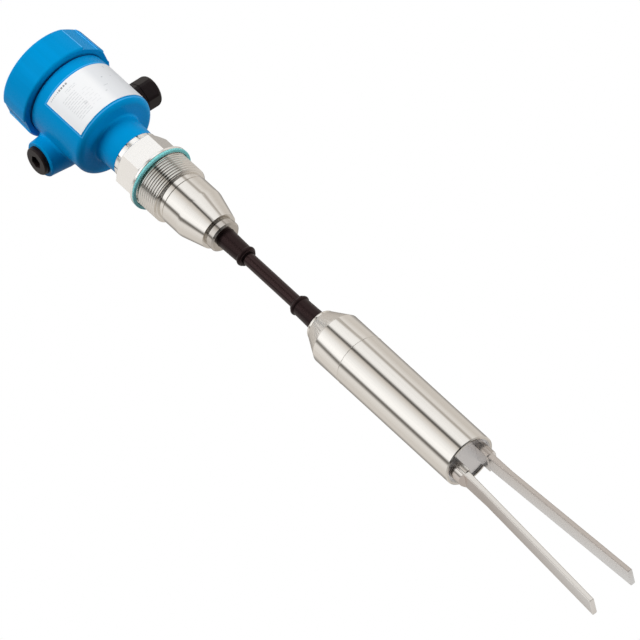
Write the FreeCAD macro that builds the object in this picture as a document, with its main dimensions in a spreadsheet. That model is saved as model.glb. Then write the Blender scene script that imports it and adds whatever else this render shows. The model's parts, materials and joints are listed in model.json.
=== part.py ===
import FreeCAD, Part
import math
import os
import re
import Sketcher

# Level switch: a vibrating fork that hangs on a short suspension cable.
# Millimetres. The origin is the centre of the sealing plane under the gasket, and +Z points up to the lid.

doc = FreeCAD.newDocument("level_switch")
sheet = doc.addObject("Spreadsheet::Sheet", "Sizes")
nodes = []

# Driving dimensions, piece by piece from the gasket outwards
DRIVING = [
    # Process fitting with its gasket
    ("thread_r", 23.9),
    ("thread_length", 20.4),
    ("thread_chamfer", 1.2),
    ("thread_undercut_r", 22.0),
    ("gasket_thick", 2.0),
    ("gasket_r", 26.9),
    ("gasket_bore_r", 24.2),
    ("flange_r", 26.8),
    ("flange_thick", 2.6),
    ("flange_edge", 0.5),
    ("hex_across", 42.0),
    ("hex_height", 22.0),
    ("hex_turned_inset", 0.3),
    ("hex_chamfer_angle", 30.0),
    ("hex_corner_angle", -13.0),
    ("crown_r", 19.7),
    ("crown_height", 5.0),
    ("crown_edge", 0.6),
    ("crown_slots", 12),
    ("crown_slot_width", 1.3),
    ("crown_slot_depth", 1.5),
    ("crown_slot_angle", 5.0),
    ("spigot_r", 16.9),
    ("spigot_height", 12.0),
    ("spigot_groove_r", 15.1),
    ("spigot_groove_width", 2.4),
    ("spigot_groove_height", 4.0),
    ("neck_seal_section_r", 0.85),
    ("fitting_bore_r", 8.0),
    ("fitting_socket_r", 18.1),
    ("fitting_socket_depth", 12.0),
    # Housing
    ("neck_foot_r", 19.2),
    ("neck_top_r", 19.9),
    ("neck_height", 21.5),
    ("neck_fillet", 2.2),
    ("neck_bore_depth", 14.0),
    ("neck_fit", 0.1),
    ("throat_r", 13.0),
    ("bowl_r", 34.5),
    ("bowl_height", 55.8),
    ("bowl_edge", 5.2),
    ("bowl_wall", 3.5),
    ("floor_thick", 4.0),
    ("rim_step", 0.5),
    ("rim_height", 15.7),
    ("entry_height", 36.4),
    ("entry_back", 25.0),
    ("entry_bore_r", 10.1),
    ("boss_stand", 8.0),
    ("boss_root", 10.5),
    ("boss_end_r", 14.4),
    ("boss_draft", 5.5),
    ("boss_fillet", 2.5),
    ("boss_rim_edge", 0.8),
    ("post_r", 3.6),
    ("post_inset", 3.4),
    ("post_hole_depth", 12.0),
    ("post_height", 25.5),
    # Rating label
    ("label_thick", 0.25),
    ("label_gap", 0.05),
    ("label_foot", 4.6),
    ("label_height", 39.5),
    ("label_start_angle", -145.5),
    ("label_span_angle", 112.3),
    # Lid
    ("lid_wall", 6.25),
    ("lid_gap", 0.6),
    ("lid_height", 27.0),
    ("lid_draft", 2.2),
    ("lid_edge", 2.5),
    ("lid_foot_round", 2.0),
    ("lid_crown", 4.0),
    ("lid_thread_gap", 0.4),
    ("lid_lead_width", 0.5),
    ("lid_lead_height", 0.6),
    ("lid_ledge_width", 4.0),
    ("grip_angle", -35.5),
    ("grip_flat_offset_angle", 18.5),
    ("grip_flat_width", 16.0),
    ("grip_flat_depth", 1.8),
    ("lid_seal_thick", 2.0),
    ("lid_seal_width", 3.2),
    ("seal_gap", 0.3),
    # Blind plug
    ("plug_shank_r", 10.0),
    ("plug_shank_length", 11.0),
    ("plug_flange_r", 11.2),
    ("plug_flange_thick", 2.2),
    ("plug_face_r", 10.4),
    ("plug_face_height", 1.0),
    ("plug_socket_across", 9.0),
    ("plug_socket_depth", 6.0),
    ("plug_seal_thick", 0.8),
    ("plug_seal_r", 11.4),
    # Cable gland
    ("gland_thread_r", 10.0),
    ("gland_thread_length", 11.5),
    ("gland_ring_thick", 1.2),
    ("gland_ring_r", 12.4),
    ("gland_ring_gap", 0.3),
    ("gland_hex_across", 22.6),
    ("gland_hex_thick", 6.5),
    ("gland_stub_r", 9.7),
    ("gland_stub_length", 10.1),
    ("gland_bore_r", 6.5),
    ("insert_r", 7.7),
    ("insert_bore_r", 5.0),
    ("insert_length", 10.6),
    ("gland_gap", 0.3),
    ("gland_corner_r", 12.3),
    ("gland_nut_start_gap", 0.4),
    ("gland_nut_wall", 1.7),
    ("gland_nut_round", 4.0),
    # Electronics module and what stands on it
    ("module_flange_gap", 2.6),
    ("module_flange_thick", 10.0),
    ("module_flat", 18.5),
    ("module_post_gap", 0.9),
    ("module_floor_gap", 0.5),
    ("module_screw_r", 1.9),
    ("module_screw_gap", 0.2),
    ("module_screw_length", 20.0),
    ("module_screw_head_r", 3.2),
    ("module_screw_head_height", 2.4),
    ("module_screw_slot", 1.0),
    ("terminal_length", 31.0),
    ("terminal_depth", 14.0),
    ("terminal_height", 11.0),
    ("terminal_front", 3.0),
    ("terminal_pitch", 7.6),
    ("terminal_count", 4),
    ("terminal_well_r", 2.3),
    ("terminal_well_depth", 5.0),
    ("terminal_screw_r", 2.0),
    ("terminal_screw_height", 3.0),
    ("terminal_screw_slot", 0.7),
    ("terminal_mouth", 4.8),
    ("terminal_mouth_floor", 1.5),
    ("terminal_mouth_depth", 9.0),
    ("clamp_gap", 0.2),
    ("clamp_setback", 3.5),
    ("clamp_length", 5.0),
    ("switch_left", -13.0),
    ("switch_front", -15.0),
    ("switch_width", 10.0),
    ("switch_depth", 8.0),
    ("switch_height", 3.5),
    ("switch_slot_width", 2.4),
    ("switch_slot_length", 6.0),
    ("switch_slot_depth", 2.5),
    ("switch_slot_spacing", 5.0),
    ("slider_gap", 0.3),
    ("slider_length", 2.6),
    ("slider_stand", 1.2),
    ("dial_x", 8.0),
    ("dial_y", -11.0),
    ("dial_r", 4.0),
    ("dial_height", 3.0),
    ("dial_stem_r", 1.6),
    ("dial_stem_length", 3.3),
    ("dial_gap", 0.3),
    ("dial_slot_width", 1.0),
    ("dial_slot_depth", 1.0),
    ("lamp_x", 4.0),
    ("lamp_inset", 8.4),
    ("lamp_r", 1.5),
    ("lamp_stem", 1.2),
    ("cable_plug_r", 6.5),
    ("cable_plug_length", 12.0),
    # Cone body, cable and bend relief
    ("cone_relief_r", 20.8),
    ("cone_relief_length", 5.0),
    ("cone_r", 21.1),
    ("cone_edge", 0.8),
    ("cone_straight_length", 17.5),
    ("cone_taper_length", 22.0),
    ("cone_end_r", 15.3),
    ("cone_kink_fillet", 12.0),
    ("cone_spigot_r", 18.0),
    ("cone_spigot_length", 11.5),
    ("clamp_bore_r", 9.6),
    ("clamp_fit", 0.1),
    ("clamp_height", 19.0),
    ("clamp_ledge", 4.0),
    ("ledge_bore_r", 6.0),
    ("sleeve_flange_r", 10.3),
    ("sleeve_flange_thick", 3.0),
    ("collar_spigot_r", 10.5),
    ("collar_spigot_length", 9.0),
    ("collar_socket_gap", 0.1),
    ("collar_groove_r", 12.0),
    ("collar_groove_length", 1.2),
    ("upper_collar_r", 13.0),
    ("upper_collar_length", 7.0),
    ("lower_collar_r", 12.6),
    ("lower_collar_length", 3.2),
    ("collar_edge", 1.4),
    ("sleeve_root_r", 7.8),
    ("sleeve_tip_r", 7.1),
    ("sleeve_bore_gap", 0.05),
    ("collar_bore_gap", 0.1),
    ("upper_sleeve_length", 25.5),
    ("lower_sleeve_length", 25.0),
    ("bead_centre_r", 6.3),
    ("bead_section_r", 2.0),
    ("bead_setback", 2.6),
    ("cable_r", 5.15),
    ("cable_free_length", 56.5),
    # Sensor tube
    ("shoulder_length", 16.0),
    ("shoulder_top_r", 13.2),
    ("tube_r", 21.5),
    ("tube_wall", 2.0),
    ("cap_skirt_length", 27.3),
    ("cap_web", 3.0),
    ("cap_register_length", 4.0),
    ("cap_register_wall", 2.0),
    ("register_gap", 0.1),
    ("tube_length", 124.4),
    ("tube_edge", 0.8),
    ("tube_ledge_r", 18.0),
    ("tube_ledge_height", 6.0),
    ("diaphragm_recess", 1.6),
    ("diaphragm_thick", 2.2),
    ("diaphragm_gap", 0.05),
    ("diaphragm_groove_r", 18.6),
    ("diaphragm_groove_width", 0.9),
    ("diaphragm_groove_depth", 1.1),
    # Fork
    ("fork_turn_angle", -9.2),
    ("tine_flat", 7.9),
    ("tine_length", 162.8),
    ("tine_splay_angle", 2.85),
    ("tine_width", 17.5),
    ("tine_thick", 4.0),
    ("tine_root_thick", 5.6),
    ("tine_root_taper_length", 36.0),
    ("root_r", 9.8),
    ("root_height", 13.2),
    ("root_outer_height", 10.4),
    ("root_slope_start", 12.4),
    # Drive stack above the diaphragm
    ("stud_r", 3.0),
    ("stud_length", 40.0),
    ("stack_bore_gap", 0.2),
    ("pressure_foot_r", 14.0),
    ("pressure_foot_wall", 2.0),
    ("pressure_height", 12.0),
    ("pressure_plate", 4.0),
    ("washer_r", 8.5),
    ("washer_thick", 2.0),
    ("contact_r", 8.0),
    ("contact_thick", 0.4),
    ("piezo_r", 7.8),
    ("piezo_thick", 2.0),
    ("piezo_count", 4),
    ("spring_thick", 1.0),
    ("nut_across", 10.0),
    ("nut_height", 5.0),
]

# Heights that follow from the driving dimensions
LEVELS = [
    ("hex_base", "gasket_thick + flange_thick"),
    ("crown_base", "hex_base + hex_height"),
    ("neck_base", "crown_base + crown_height"),
    ("spigot_top", "neck_base + spigot_height"),
    ("bowl_base", "neck_base + neck_height"),
    ("floor_top", "bowl_base + floor_thick"),
    ("bowl_top", "bowl_base + bowl_height"),
    ("rim_top", "bowl_top + rim_height"),
    ("room_r", "bowl_r - bowl_wall"),
    ("rim_r", "bowl_r - rim_step"),
    ("boss_reach", "bowl_r + boss_stand"),
    ("lid_r", "rim_r + lid_wall"),
    ("lid_inner_r", "rim_r - lid_ledge_width"),
    ("module_flange_r", "room_r - module_flange_gap"),
    ("post_spread", "module_flange_r - post_inset"),
    ("module_column_r", "post_spread - post_r - module_post_gap"),
    ("lamp_y", "-module_flange_r + lamp_inset"),
    ("entry_z", "bowl_base + entry_height"),
    ("lid_base", "bowl_top + lid_gap"),
    ("lid_top", "lid_base + lid_height"),
    ("lid_bore_r", "rim_r + lid_thread_gap"),
    ("lid_seal_base", "rim_top + seal_gap"),
    ("lid_ledge", "lid_seal_base + lid_seal_thick + seal_gap"),
    ("post_top", "floor_top + post_height"),
    ("module_base", "floor_top + module_floor_gap"),
    ("module_top", "post_top + module_flange_thick"),
    ("plug_seat", "boss_reach + plug_seal_thick"),
    ("plug_face", "plug_seat + plug_flange_thick + plug_face_height"),
    ("gland_seat", "boss_reach + gland_ring_thick"),
    ("gland_hex_end", "gland_seat + gland_hex_thick"),
    ("gland_stub_end", "gland_hex_end + gland_stub_length"),
    ("insert_start", "gland_hex_end + 2 * gland_gap"),
    ("insert_end", "insert_start + insert_length"),
    ("gland_nut_start", "gland_hex_end + gland_nut_start_gap"),
    ("gland_nut_front", "insert_end + gland_gap"),
    ("gland_nut_end", "gland_nut_front + gland_nut_wall"),
    ("cable_top", "module_base - cable_plug_length"),
    ("thread_end", "-thread_length"),
    ("cone_shoulder", "thread_end - cone_relief_length"),
    ("cone_kink", "cone_shoulder - cone_straight_length"),
    ("cone_end", "cone_kink - cone_taper_length"),
    ("upper_collar_top", "cone_end - collar_groove_length"),
    ("upper_collar_end", "upper_collar_top - upper_collar_length"),
    ("upper_flange_base", "cone_end + collar_spigot_length"),
    ("upper_flange_top", "upper_flange_base + sleeve_flange_thick"),
    ("upper_ledge_top", "upper_flange_top + clamp_ledge"),
    ("upper_clamp_top", "upper_ledge_top + clamp_height"),
    ("upper_sleeve_end", "upper_collar_end - upper_sleeve_length"),
    ("lower_sleeve_end", "upper_sleeve_end - cable_free_length"),
    ("lower_collar_top", "lower_sleeve_end - lower_sleeve_length"),
    ("cap_top", "lower_collar_top - lower_collar_length"),
    ("lower_flange_top", "cap_top - collar_spigot_length"),
    ("lower_flange_base", "lower_flange_top - sleeve_flange_thick"),
    ("lower_ledge_base", "lower_flange_base - clamp_ledge"),
    ("lower_clamp_base", "lower_ledge_base - clamp_height"),
    ("cable_end", "lower_clamp_base"),
    ("shoulder_base", "cap_top - shoulder_length"),
    ("weld_z", "shoulder_base - cap_skirt_length"),
    ("tube_end", "weld_z - tube_length"),
    ("tube_bore_r", "tube_r - tube_wall"),
    ("diaphragm_face", "tube_end + diaphragm_recess"),
    ("diaphragm_back", "diaphragm_face + diaphragm_thick"),
    ("tine_tip", "diaphragm_face - tine_length"),
    ("pressure_top", "diaphragm_back + pressure_height"),
    ("stack_bore_r", "stud_r + stack_bore_gap"),
]

for row, (alias, number) in enumerate(DRIVING, start=1):
    sheet.set("A%d" % row, alias)
    sheet.set("B%d" % row, str(number))
    sheet.setAlias("B%d" % row, alias)
for row, (alias, formula) in enumerate(LEVELS, start=len(DRIVING) + 1):
    sheet.set("A%d" % row, alias)
    sheet.set("B%d" % row, "=" + formula)
    sheet.setAlias("B%d" % row, alias)
doc.recompute()

ALIASES = {alias for alias, _ in DRIVING + LEVELS}


def bound(text):
    """The same expression, with each size read from the sheet."""
    return re.sub(r"[a-z_]+[a-z]", lambda m: "Sizes." + m[0] if m[0] in ALIASES else m[0], text)


def value(text):
    return float(sheet.evalExpression(text))


def bind(thing, **sizes):
    for name, text in sizes.items():
        thing.setExpression(name.replace("__", "."), bound(text))


def node(thing, label):
    """Keep a finished piece under the name of its node."""
    thing.Label = label
    nodes.append(thing)
    return thing


# Sketches


def sketch_on(body, name, role, offset=("0", "0", "0")):
    sketch = body.newObject("Sketcher::SketchObject", name)
    plane = [feature for feature in body.Origin.OriginFeatures if feature.Role == role][0]
    sketch.AttachmentSupport = [(plane, "")]
    sketch.MapMode = "FlatFace"
    for axis, text in zip("xyz", offset):
        if text != "0":
            sketch.setExpression("AttachmentOffset.Base." + axis, bound(text))
    return sketch


def pin_point(sketch, geometry, place, x_text, y_text, point):
    """Hold one point of a sketch at bound distances from the sketch's origin."""
    for text, kind, axis, length in ((x_text, "DistanceX", -2, point.x), (y_text, "DistanceY", -1, point.y)):
        if text == "0":
            sketch.addConstraint(Sketcher.Constraint("PointOnObject", geometry, place, axis))
        else:
            index = sketch.addConstraint(Sketcher.Constraint(kind, -1, 1, geometry, place, length))
            sketch.setExpression("Constraints[%d]" % index, bound(text))


def outline(sketch, corners):
    """Closed outline of straight lines through corners given as pairs of expressions."""
    points = [FreeCAD.Vector(value(x), value(y), 0) for x, y in corners]
    first = sketch.GeometryCount
    count = len(points)
    for i in range(count):
        sketch.addGeometry(Part.LineSegment(points[i], points[(i + 1) % count]))
    for i in range(count):
        after = first + (i + 1) % count
        sketch.addConstraint(Sketcher.Constraint("Coincident", first + i, 2, after, 1))
    for i, (x, y) in enumerate(corners):
        pin_point(sketch, first + i, 1, x, y, points[i])


def circle(sketch, x, y, radius):
    centre = FreeCAD.Vector(value(x), value(y), 0)
    index = sketch.addGeometry(Part.Circle(centre, FreeCAD.Vector(0, 0, 1), value(radius)))
    pin_point(sketch, index, 3, x, y, centre)
    held = sketch.addConstraint(Sketcher.Constraint("Radius", index, value(radius)))
    sketch.setExpression("Constraints[%d]" % held, bound(radius))


def hexagon(sketch, across, corner_angle="0"):
    corners = []
    for k in range(6):
        turn = "(%s + %d)" % (corner_angle, 60 * k)
        corners.append(("%s / sqrt(3) * cos%s" % (across, turn), "%s / sqrt(3) * sin%s" % (across, turn)))
    outline(sketch, corners)


def rectangle(sketch, x_low, x_high, y_low, y_high):
    outline(sketch, [(x_low, y_low), (x_high, y_low), (x_high, y_high), (x_low, y_high)])


# Features


def new_body(label):
    return doc.addObject("PartDesign::Body", label)


def revolve(body, sketch, axis="V_Axis", cut=False):
    kind = "PartDesign::Groove" if cut else "PartDesign::Revolution"
    before = body.Shape.Volume if cut else 0
    feature = body.newObject(kind, sketch.Name + "_turn")
    feature.Profile = sketch
    feature.ReferenceAxis = (sketch, [axis])
    feature.Angle = 360
    doc.recompute()
    if cut and not body.Shape.Volume < before:
        raise RuntimeError(sketch.Name + " cuts nothing")
    return feature


def extrude(body, sketch, length, cut=False, symmetric=False, reverse=False):
    kind = "PartDesign::Pocket" if cut else "PartDesign::Pad"
    before = body.Shape.Volume if body.Tip else 0
    feature = body.newObject(kind, sketch.Name + "_run")
    feature.Profile = sketch
    if symmetric:
        feature.SideType = "Symmetric"
    feature.Reversed = reverse
    bind(feature, Length=length)
    doc.recompute()
    if cut and not body.Shape.Volume < before:
        raise RuntimeError(sketch.Name + " cuts nothing")
    return feature


def pattern(body, originals, count):
    feature = body.newObject("PartDesign::PolarPattern", originals[-1].Name + "_ring")
    feature.Originals = originals
    axis = [part for part in body.Origin.OriginFeatures if part.Role == "Z_Axis"][0]
    feature.Axis = (axis, [""])
    feature.Angle = 360
    bind(feature, Occurrences=count)
    body.Tip = feature
    doc.recompute()
    return feature


def ring_edges(shape, radius, height):
    """Names of the circular edges about the Z axis with this radius and height."""
    names = []
    for number, edge in enumerate(shape.Edges, start=1):
        curve = edge.Curve
        if not isinstance(curve, Part.Circle):
            continue
        if abs(curve.Radius - radius) < 0.01 and abs(curve.Center.z - height) < 0.01:
            names.append("Edge%d" % number)
    return names


def round_edges(body, names, radius):
    base = body.Tip
    feature = body.newObject("PartDesign::Fillet", body.Name + "_round")
    feature.Base = (base, names)
    bind(feature, Radius=radius)
    doc.recompute()
    return feature


def turned(label, profile):
    """Piece turned about the Z axis from pairs of radius and height."""
    body = new_body(label)
    sketch = sketch_on(body, label + "_profile", "XZ_Plane")
    outline(sketch, profile)
    revolve(body, sketch)
    return body


def tube(label, inner, outer, base, top):
    return turned(label, [(inner, base), (outer, base), (outer, top), (inner, top)])


def turned_about_entry(label, profile):
    """Piece turned about the entries' own axis, from pairs of reach along X and radius."""
    body = new_body(label)
    sketch = sketch_on(body, label + "_profile", "XZ_Plane", ("0", "entry_z", "-entry_back"))
    outline(sketch, profile)
    revolve(body, sketch, "H_Axis")
    return body


def block(label, low, size):
    """Block from its low corner and its size, each three expressions."""
    box = doc.addObject("Part::Box", label)
    bind(box, Length=size[0], Width=size[1], Height=size[2])
    bind(box, Placement__Base__x=low[0], Placement__Base__y=low[1], Placement__Base__z=low[2])
    return box


def upright(label, radius, height, place):
    cylinder = doc.addObject("Part::Cylinder", label)
    bind(cylinder, Radius=radius, Height=height)
    bind(cylinder, Placement__Base__x=place[0], Placement__Base__y=place[1], Placement__Base__z=place[2])
    return cylinder


def cut(label, base, tools):
    tool = tools[0]
    if len(tools) > 1:
        tool = doc.addObject("Part::MultiFuse", label + "_tools")
        tool.Shapes = tools
    result = doc.addObject("Part::Cut", label)
    result.Base = base
    result.Tool = tool
    doc.recompute()
    return result


def group(label, members):
    bundle = doc.addObject("Part::Compound", label + "_group")
    bundle.Links = members
    doc.recompute()
    return node(bundle, label)


# Process fitting: crown, hexagon, flange and thread turned in one, with milled flats and slots


def make_process_fitting():
    corner_r = "hex_across / sqrt(3)"
    turned_r = "(hex_across / 2 - hex_turned_inset)"
    chamfer = "(hex_across / sqrt(3) - %s) * tan(hex_chamfer_angle)" % turned_r
    groove_top = "neck_base + spigot_groove_height + spigot_groove_width"
    body = turned("process_fitting", [
        ("fitting_bore_r", "spigot_top"),
        ("spigot_r", "spigot_top"),
        ("spigot_r", groove_top),
        ("spigot_groove_r", groove_top),
        ("spigot_groove_r", "neck_base + spigot_groove_height"),
        ("spigot_r", "neck_base + spigot_groove_height"),
        ("spigot_r", "neck_base"),
        ("crown_r - crown_edge", "neck_base"),
        ("crown_r", "neck_base - crown_edge"),
        ("crown_r", "crown_base"),
        (corner_r, "crown_base - " + chamfer),
        (corner_r, "hex_base + " + chamfer),
        (turned_r, "hex_base"),
        ("flange_r - flange_edge", "hex_base"),
        ("flange_r", "hex_base - flange_edge"),
        ("flange_r", "gasket_thick + flange_edge"),
        ("flange_r - flange_edge", "gasket_thick"),
        ("thread_undercut_r", "gasket_thick"),
        ("thread_undercut_r", "0"),
        ("thread_r", "0"),
        ("thread_r", "thread_end + thread_chamfer"),
        ("thread_r - thread_chamfer", "thread_end"),
        ("fitting_socket_r", "thread_end"),
        ("fitting_socket_r", "thread_end + fitting_socket_depth"),
        ("fitting_bore_r", "thread_end + fitting_socket_depth"),
    ])
    flats = sketch_on(body, "hexagon_flats", "XY_Plane", ("0", "0", "crown_base"))
    hexagon(flats, "hex_across", "hex_corner_angle")
    circle(flats, "0", "0", "hex_across")
    extrude(body, flats, "hex_height", cut=True)
    slot = sketch_on(body, "crown_slot", "XY_Plane", ("0", "0", "neck_base"))
    slot.setExpression("AttachmentOffset.Rotation.Angle", bound("crown_slot_angle"))
    rectangle(slot, "crown_r - crown_slot_depth", "crown_r + crown_slot_depth",
              "-crown_slot_width / 2", "crown_slot_width / 2")
    pattern(body, [extrude(body, slot, "crown_height", cut=True)], "crown_slots")
    node(body, "process_fitting")


make_process_fitting()
node(tube("process_gasket", "gasket_bore_r", "gasket_r", "0", "gasket_thick"), "process_gasket")

neck_seal = doc.addObject("Part::Torus", "neck_seal")
bind(neck_seal, Radius1="spigot_r + neck_fit - neck_seal_section_r - neck_fit", Radius2="neck_seal_section_r")
bind(neck_seal, Placement__Base__z="neck_base + spigot_groove_height + spigot_groove_width / 2")
node(neck_seal, "neck_seal")

# Housing: bowl and neck, the duct across its back whose drafted ends take plug and gland, the room inside


def make_housing():
    body = turned("housing", [
        ("0", "neck_base"),
        ("neck_foot_r", "neck_base"),
        ("neck_top_r", "bowl_base"),
        ("bowl_r", "bowl_base"),
        ("bowl_r", "bowl_top"),
        ("rim_r", "bowl_top"),
        ("rim_r", "rim_top"),
        ("0", "rim_top"),
    ])
    lower_edge = ring_edges(body.Shape, value("bowl_r"), value("bowl_base"))
    round_edges(body, lower_edge, "bowl_edge")
    inner_corner = ring_edges(body.Shape, value("neck_top_r"), value("bowl_base"))
    round_edges(body, inner_corner, "neck_fillet")

    duct = sketch_on(body, "entry_duct", "XZ_Plane", ("0", "entry_z", "-entry_back"))
    rim_r = "boss_end_r + boss_rim_edge * tan(boss_draft)"
    root_r = "boss_end_r + (boss_stand + boss_root) * tan(boss_draft)"
    outline(duct, [
        ("-boss_reach", "0"),
        ("-boss_reach", "boss_end_r - boss_rim_edge"),
        ("-boss_reach + boss_rim_edge", rim_r),
        ("-bowl_r + boss_root", root_r),
        ("bowl_r - boss_root", root_r),
        ("boss_reach - boss_rim_edge", rim_r),
        ("boss_reach", "boss_end_r - boss_rim_edge"),
        ("boss_reach", "0"),
    ])
    revolve(body, duct, "H_Axis")
    seam = []
    for number, edge in enumerate(body.Shape.Edges, start=1):
        if isinstance(edge.Curve, Part.BSplineCurve):
            seam.append("Edge%d" % number)
    round_edges(body, seam, "boss_fillet")

    room = sketch_on(body, "wiring_room", "XZ_Plane")
    outline(room, [
        ("0", "neck_base"),
        ("spigot_r + neck_fit", "neck_base"),
        ("spigot_r + neck_fit", "neck_base + neck_bore_depth"),
        ("throat_r", "neck_base + neck_bore_depth"),
        ("throat_r", "floor_top"),
        ("room_r", "floor_top"),
        ("room_r", "rim_top"),
        ("0", "rim_top"),
    ])
    revolve(body, room, cut=True)

    posts = sketch_on(body, "module_posts", "XY_Plane", ("0", "0", "floor_top"))
    for side in ("", "-"):
        circle(posts, "0", side + "post_spread", "post_r")
    extrude(body, posts, "post_height")
    holes = sketch_on(body, "post_holes", "XY_Plane", ("0", "0", "post_top"))
    for side in ("", "-"):
        circle(holes, "0", side + "post_spread", "module_screw_r + module_screw_gap / 2")
    extrude(body, holes, "post_hole_depth", cut=True)

    entries = sketch_on(body, "entry_bores", "XZ_Plane", ("0", "entry_z", "-entry_back"))
    for inner, outer in (("-module_flat", "-boss_reach"), ("module_flat", "boss_reach")):
        outline(entries, [(inner, "0"), (inner, "entry_bore_r"), (outer, "entry_bore_r"), (outer, "0")])
    revolve(body, entries, "H_Axis", cut=True)
    node(body, "housing")


make_housing()


def make_label():
    sector = {}
    for name, radius in (("label_outer", "bowl_r + label_gap + label_thick"), ("label_inner", "bowl_r + label_gap")):
        wedge = upright(name, radius, "label_height", ("0", "0", "bowl_base + label_foot"))
        bind(wedge, Angle="label_span_angle")
        wedge.Placement.Rotation = FreeCAD.Rotation(FreeCAD.Vector(0, 0, 1), value("label_start_angle"))
        sector[name] = wedge
    node(cut("label_sheet", sector["label_outer"], [sector["label_inner"]]), "rating_label")


make_label()

# Lid: drafted cap with two grip zones of two flats each


def make_lid():
    body = turned("lid", [
        ("0", "lid_top"),
        ("lid_r - lid_height * tan(lid_draft)", "lid_top"),
        ("lid_r", "lid_base"),
        ("lid_bore_r + lid_lead_width", "lid_base"),
        ("lid_bore_r", "lid_base + lid_lead_height"),
        ("lid_bore_r", "lid_ledge"),
        ("lid_inner_r", "lid_ledge"),
        ("lid_inner_r", "lid_top - lid_crown"),
        ("0", "lid_top - lid_crown"),
    ])
    top_r = value("lid_r - lid_height * tan(lid_draft)")
    round_edges(body, ring_edges(body.Shape, top_r, value("lid_top")), "lid_edge")
    round_edges(body, ring_edges(body.Shape, value("lid_r"), value("lid_base")), "lid_foot_round")
    flats = []
    for side in (-1, 1):
        flat = body.newObject("PartDesign::SubtractiveBox", "grip_flat")
        bind(flat, Length="lid_r", Width="grip_flat_width", Height="lid_height * 1.5")
        turn = FreeCAD.Rotation(FreeCAD.Vector(0, 0, 1), value("grip_angle + %d * grip_flat_offset_angle" % side))
        lean = FreeCAD.Rotation(FreeCAD.Vector(0, 1, 0), -value("lid_draft"))
        foot = FreeCAD.Vector(value("lid_r - grip_flat_depth"), 0, value("lid_base"))
        corner = FreeCAD.Vector(0, -value("grip_flat_width") / 2, -value("lid_height") / 4)
        flat.Placement = FreeCAD.Placement(turn.multVec(foot), turn) * FreeCAD.Placement(
            lean.multVec(corner), lean)
        doc.recompute()
        flats.append(flat)
    zones = pattern(body, flats, "2")
    if not zones.Shape.Volume < flats[-1].Shape.Volume:
        raise RuntimeError("grip zones cut nothing")
    node(body, "lid")


make_lid()
node(tube("lid_seal", "rim_r - lid_seal_width", "rim_r", "lid_seal_base",
          "lid_seal_base + lid_seal_thick"), "lid_seal")

# Blind plug in the left end of the duct, with the hexagon socket facing out along -X


def make_blind_plug():
    body = turned_about_entry("blind_plug", [
        ("-boss_reach + plug_shank_length", "0"),
        ("-boss_reach + plug_shank_length", "plug_shank_r"),
        ("-plug_seat", "plug_shank_r"),
        ("-plug_seat", "plug_flange_r"),
        ("-plug_seat - plug_flange_thick", "plug_flange_r"),
        ("-plug_face", "plug_face_r"),
        ("-plug_face", "0"),
    ])
    socket = sketch_on(body, "plug_socket", "YZ_Plane", ("entry_back", "entry_z", "-plug_face"))
    hexagon(socket, "plug_socket_across")
    extrude(body, socket, "plug_socket_depth", cut=True, reverse=True)
    node(body, "blind_plug")


make_blind_plug()
node(turned_about_entry("blind_plug_seal", [
    ("-boss_reach", "entry_bore_r"),
    ("-boss_reach", "plug_seal_r"),
    ("-plug_seat", "plug_seal_r"),
    ("-plug_seat", "entry_bore_r"),
]), "blind_plug_seal")

# Cable gland in the right end of the duct


def make_gland():
    body = turned_about_entry("gland_body", [
        ("boss_reach - gland_thread_length", "gland_bore_r"),
        ("boss_reach - gland_thread_length", "gland_thread_r"),
        ("gland_seat", "gland_thread_r"),
        ("gland_seat", "gland_corner_r"),
        ("gland_hex_end", "gland_corner_r"),
        ("gland_hex_end", "gland_stub_r"),
        ("gland_stub_end", "gland_stub_r"),
        ("gland_stub_end", "insert_r + gland_gap"),
        ("insert_start - gland_gap", "insert_r + gland_gap"),
        ("insert_start - gland_gap", "gland_bore_r"),
    ])
    flats = sketch_on(body, "gland_flats", "YZ_Plane", ("entry_back", "entry_z", "gland_hex_end"))
    hexagon(flats, "gland_hex_across")
    circle(flats, "0", "0", "gland_hex_across")
    extrude(body, flats, "gland_hex_thick", cut=True)
    node(body, "gland_body")
    node(turned_about_entry("gland_o_ring", [
        ("boss_reach", "gland_thread_r + gland_ring_gap"),
        ("boss_reach", "gland_ring_r"),
        ("gland_seat", "gland_ring_r"),
        ("gland_seat", "gland_thread_r + gland_ring_gap"),
    ]), "gland_o_ring")
    node(turned_about_entry("gland_seal_insert", [
        ("insert_start", "insert_bore_r"),
        ("insert_start", "insert_r"),
        ("insert_end", "insert_r"),
        ("insert_end", "insert_bore_r"),
    ]), "gland_seal_insert")
    nut = turned_about_entry("gland_nut", [
        ("gland_nut_start", "gland_stub_r + gland_gap"),
        ("gland_nut_start", "gland_corner_r"),
        ("gland_nut_end", "gland_corner_r"),
        ("gland_nut_end", "gland_bore_r"),
        ("gland_nut_front", "gland_bore_r"),
        ("gland_nut_front", "gland_stub_r + gland_gap"),
    ])
    rims = []
    for number, edge in enumerate(nut.Shape.Edges, start=1):
        curve = edge.Curve
        if isinstance(curve, Part.Circle) and abs(curve.Center.x - value("gland_nut_end")) < 0.01:
            if abs(curve.Radius - value("gland_corner_r")) < 0.01:
                rims.append("Edge%d" % number)
    round_edges(nut, rims, "gland_nut_round")
    nut_flats = sketch_on(nut, "gland_nut_flats", "YZ_Plane", ("entry_back", "entry_z", "gland_nut_end"))
    hexagon(nut_flats, "gland_hex_across")
    circle(nut_flats, "0", "0", "gland_hex_across")
    extrude(nut, nut_flats, "gland_nut_end - gland_nut_start", cut=True)
    node(nut, "gland_nut")


make_gland()

# Electronics module: potted column under a flange with two flats, on the housing's posts


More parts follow.
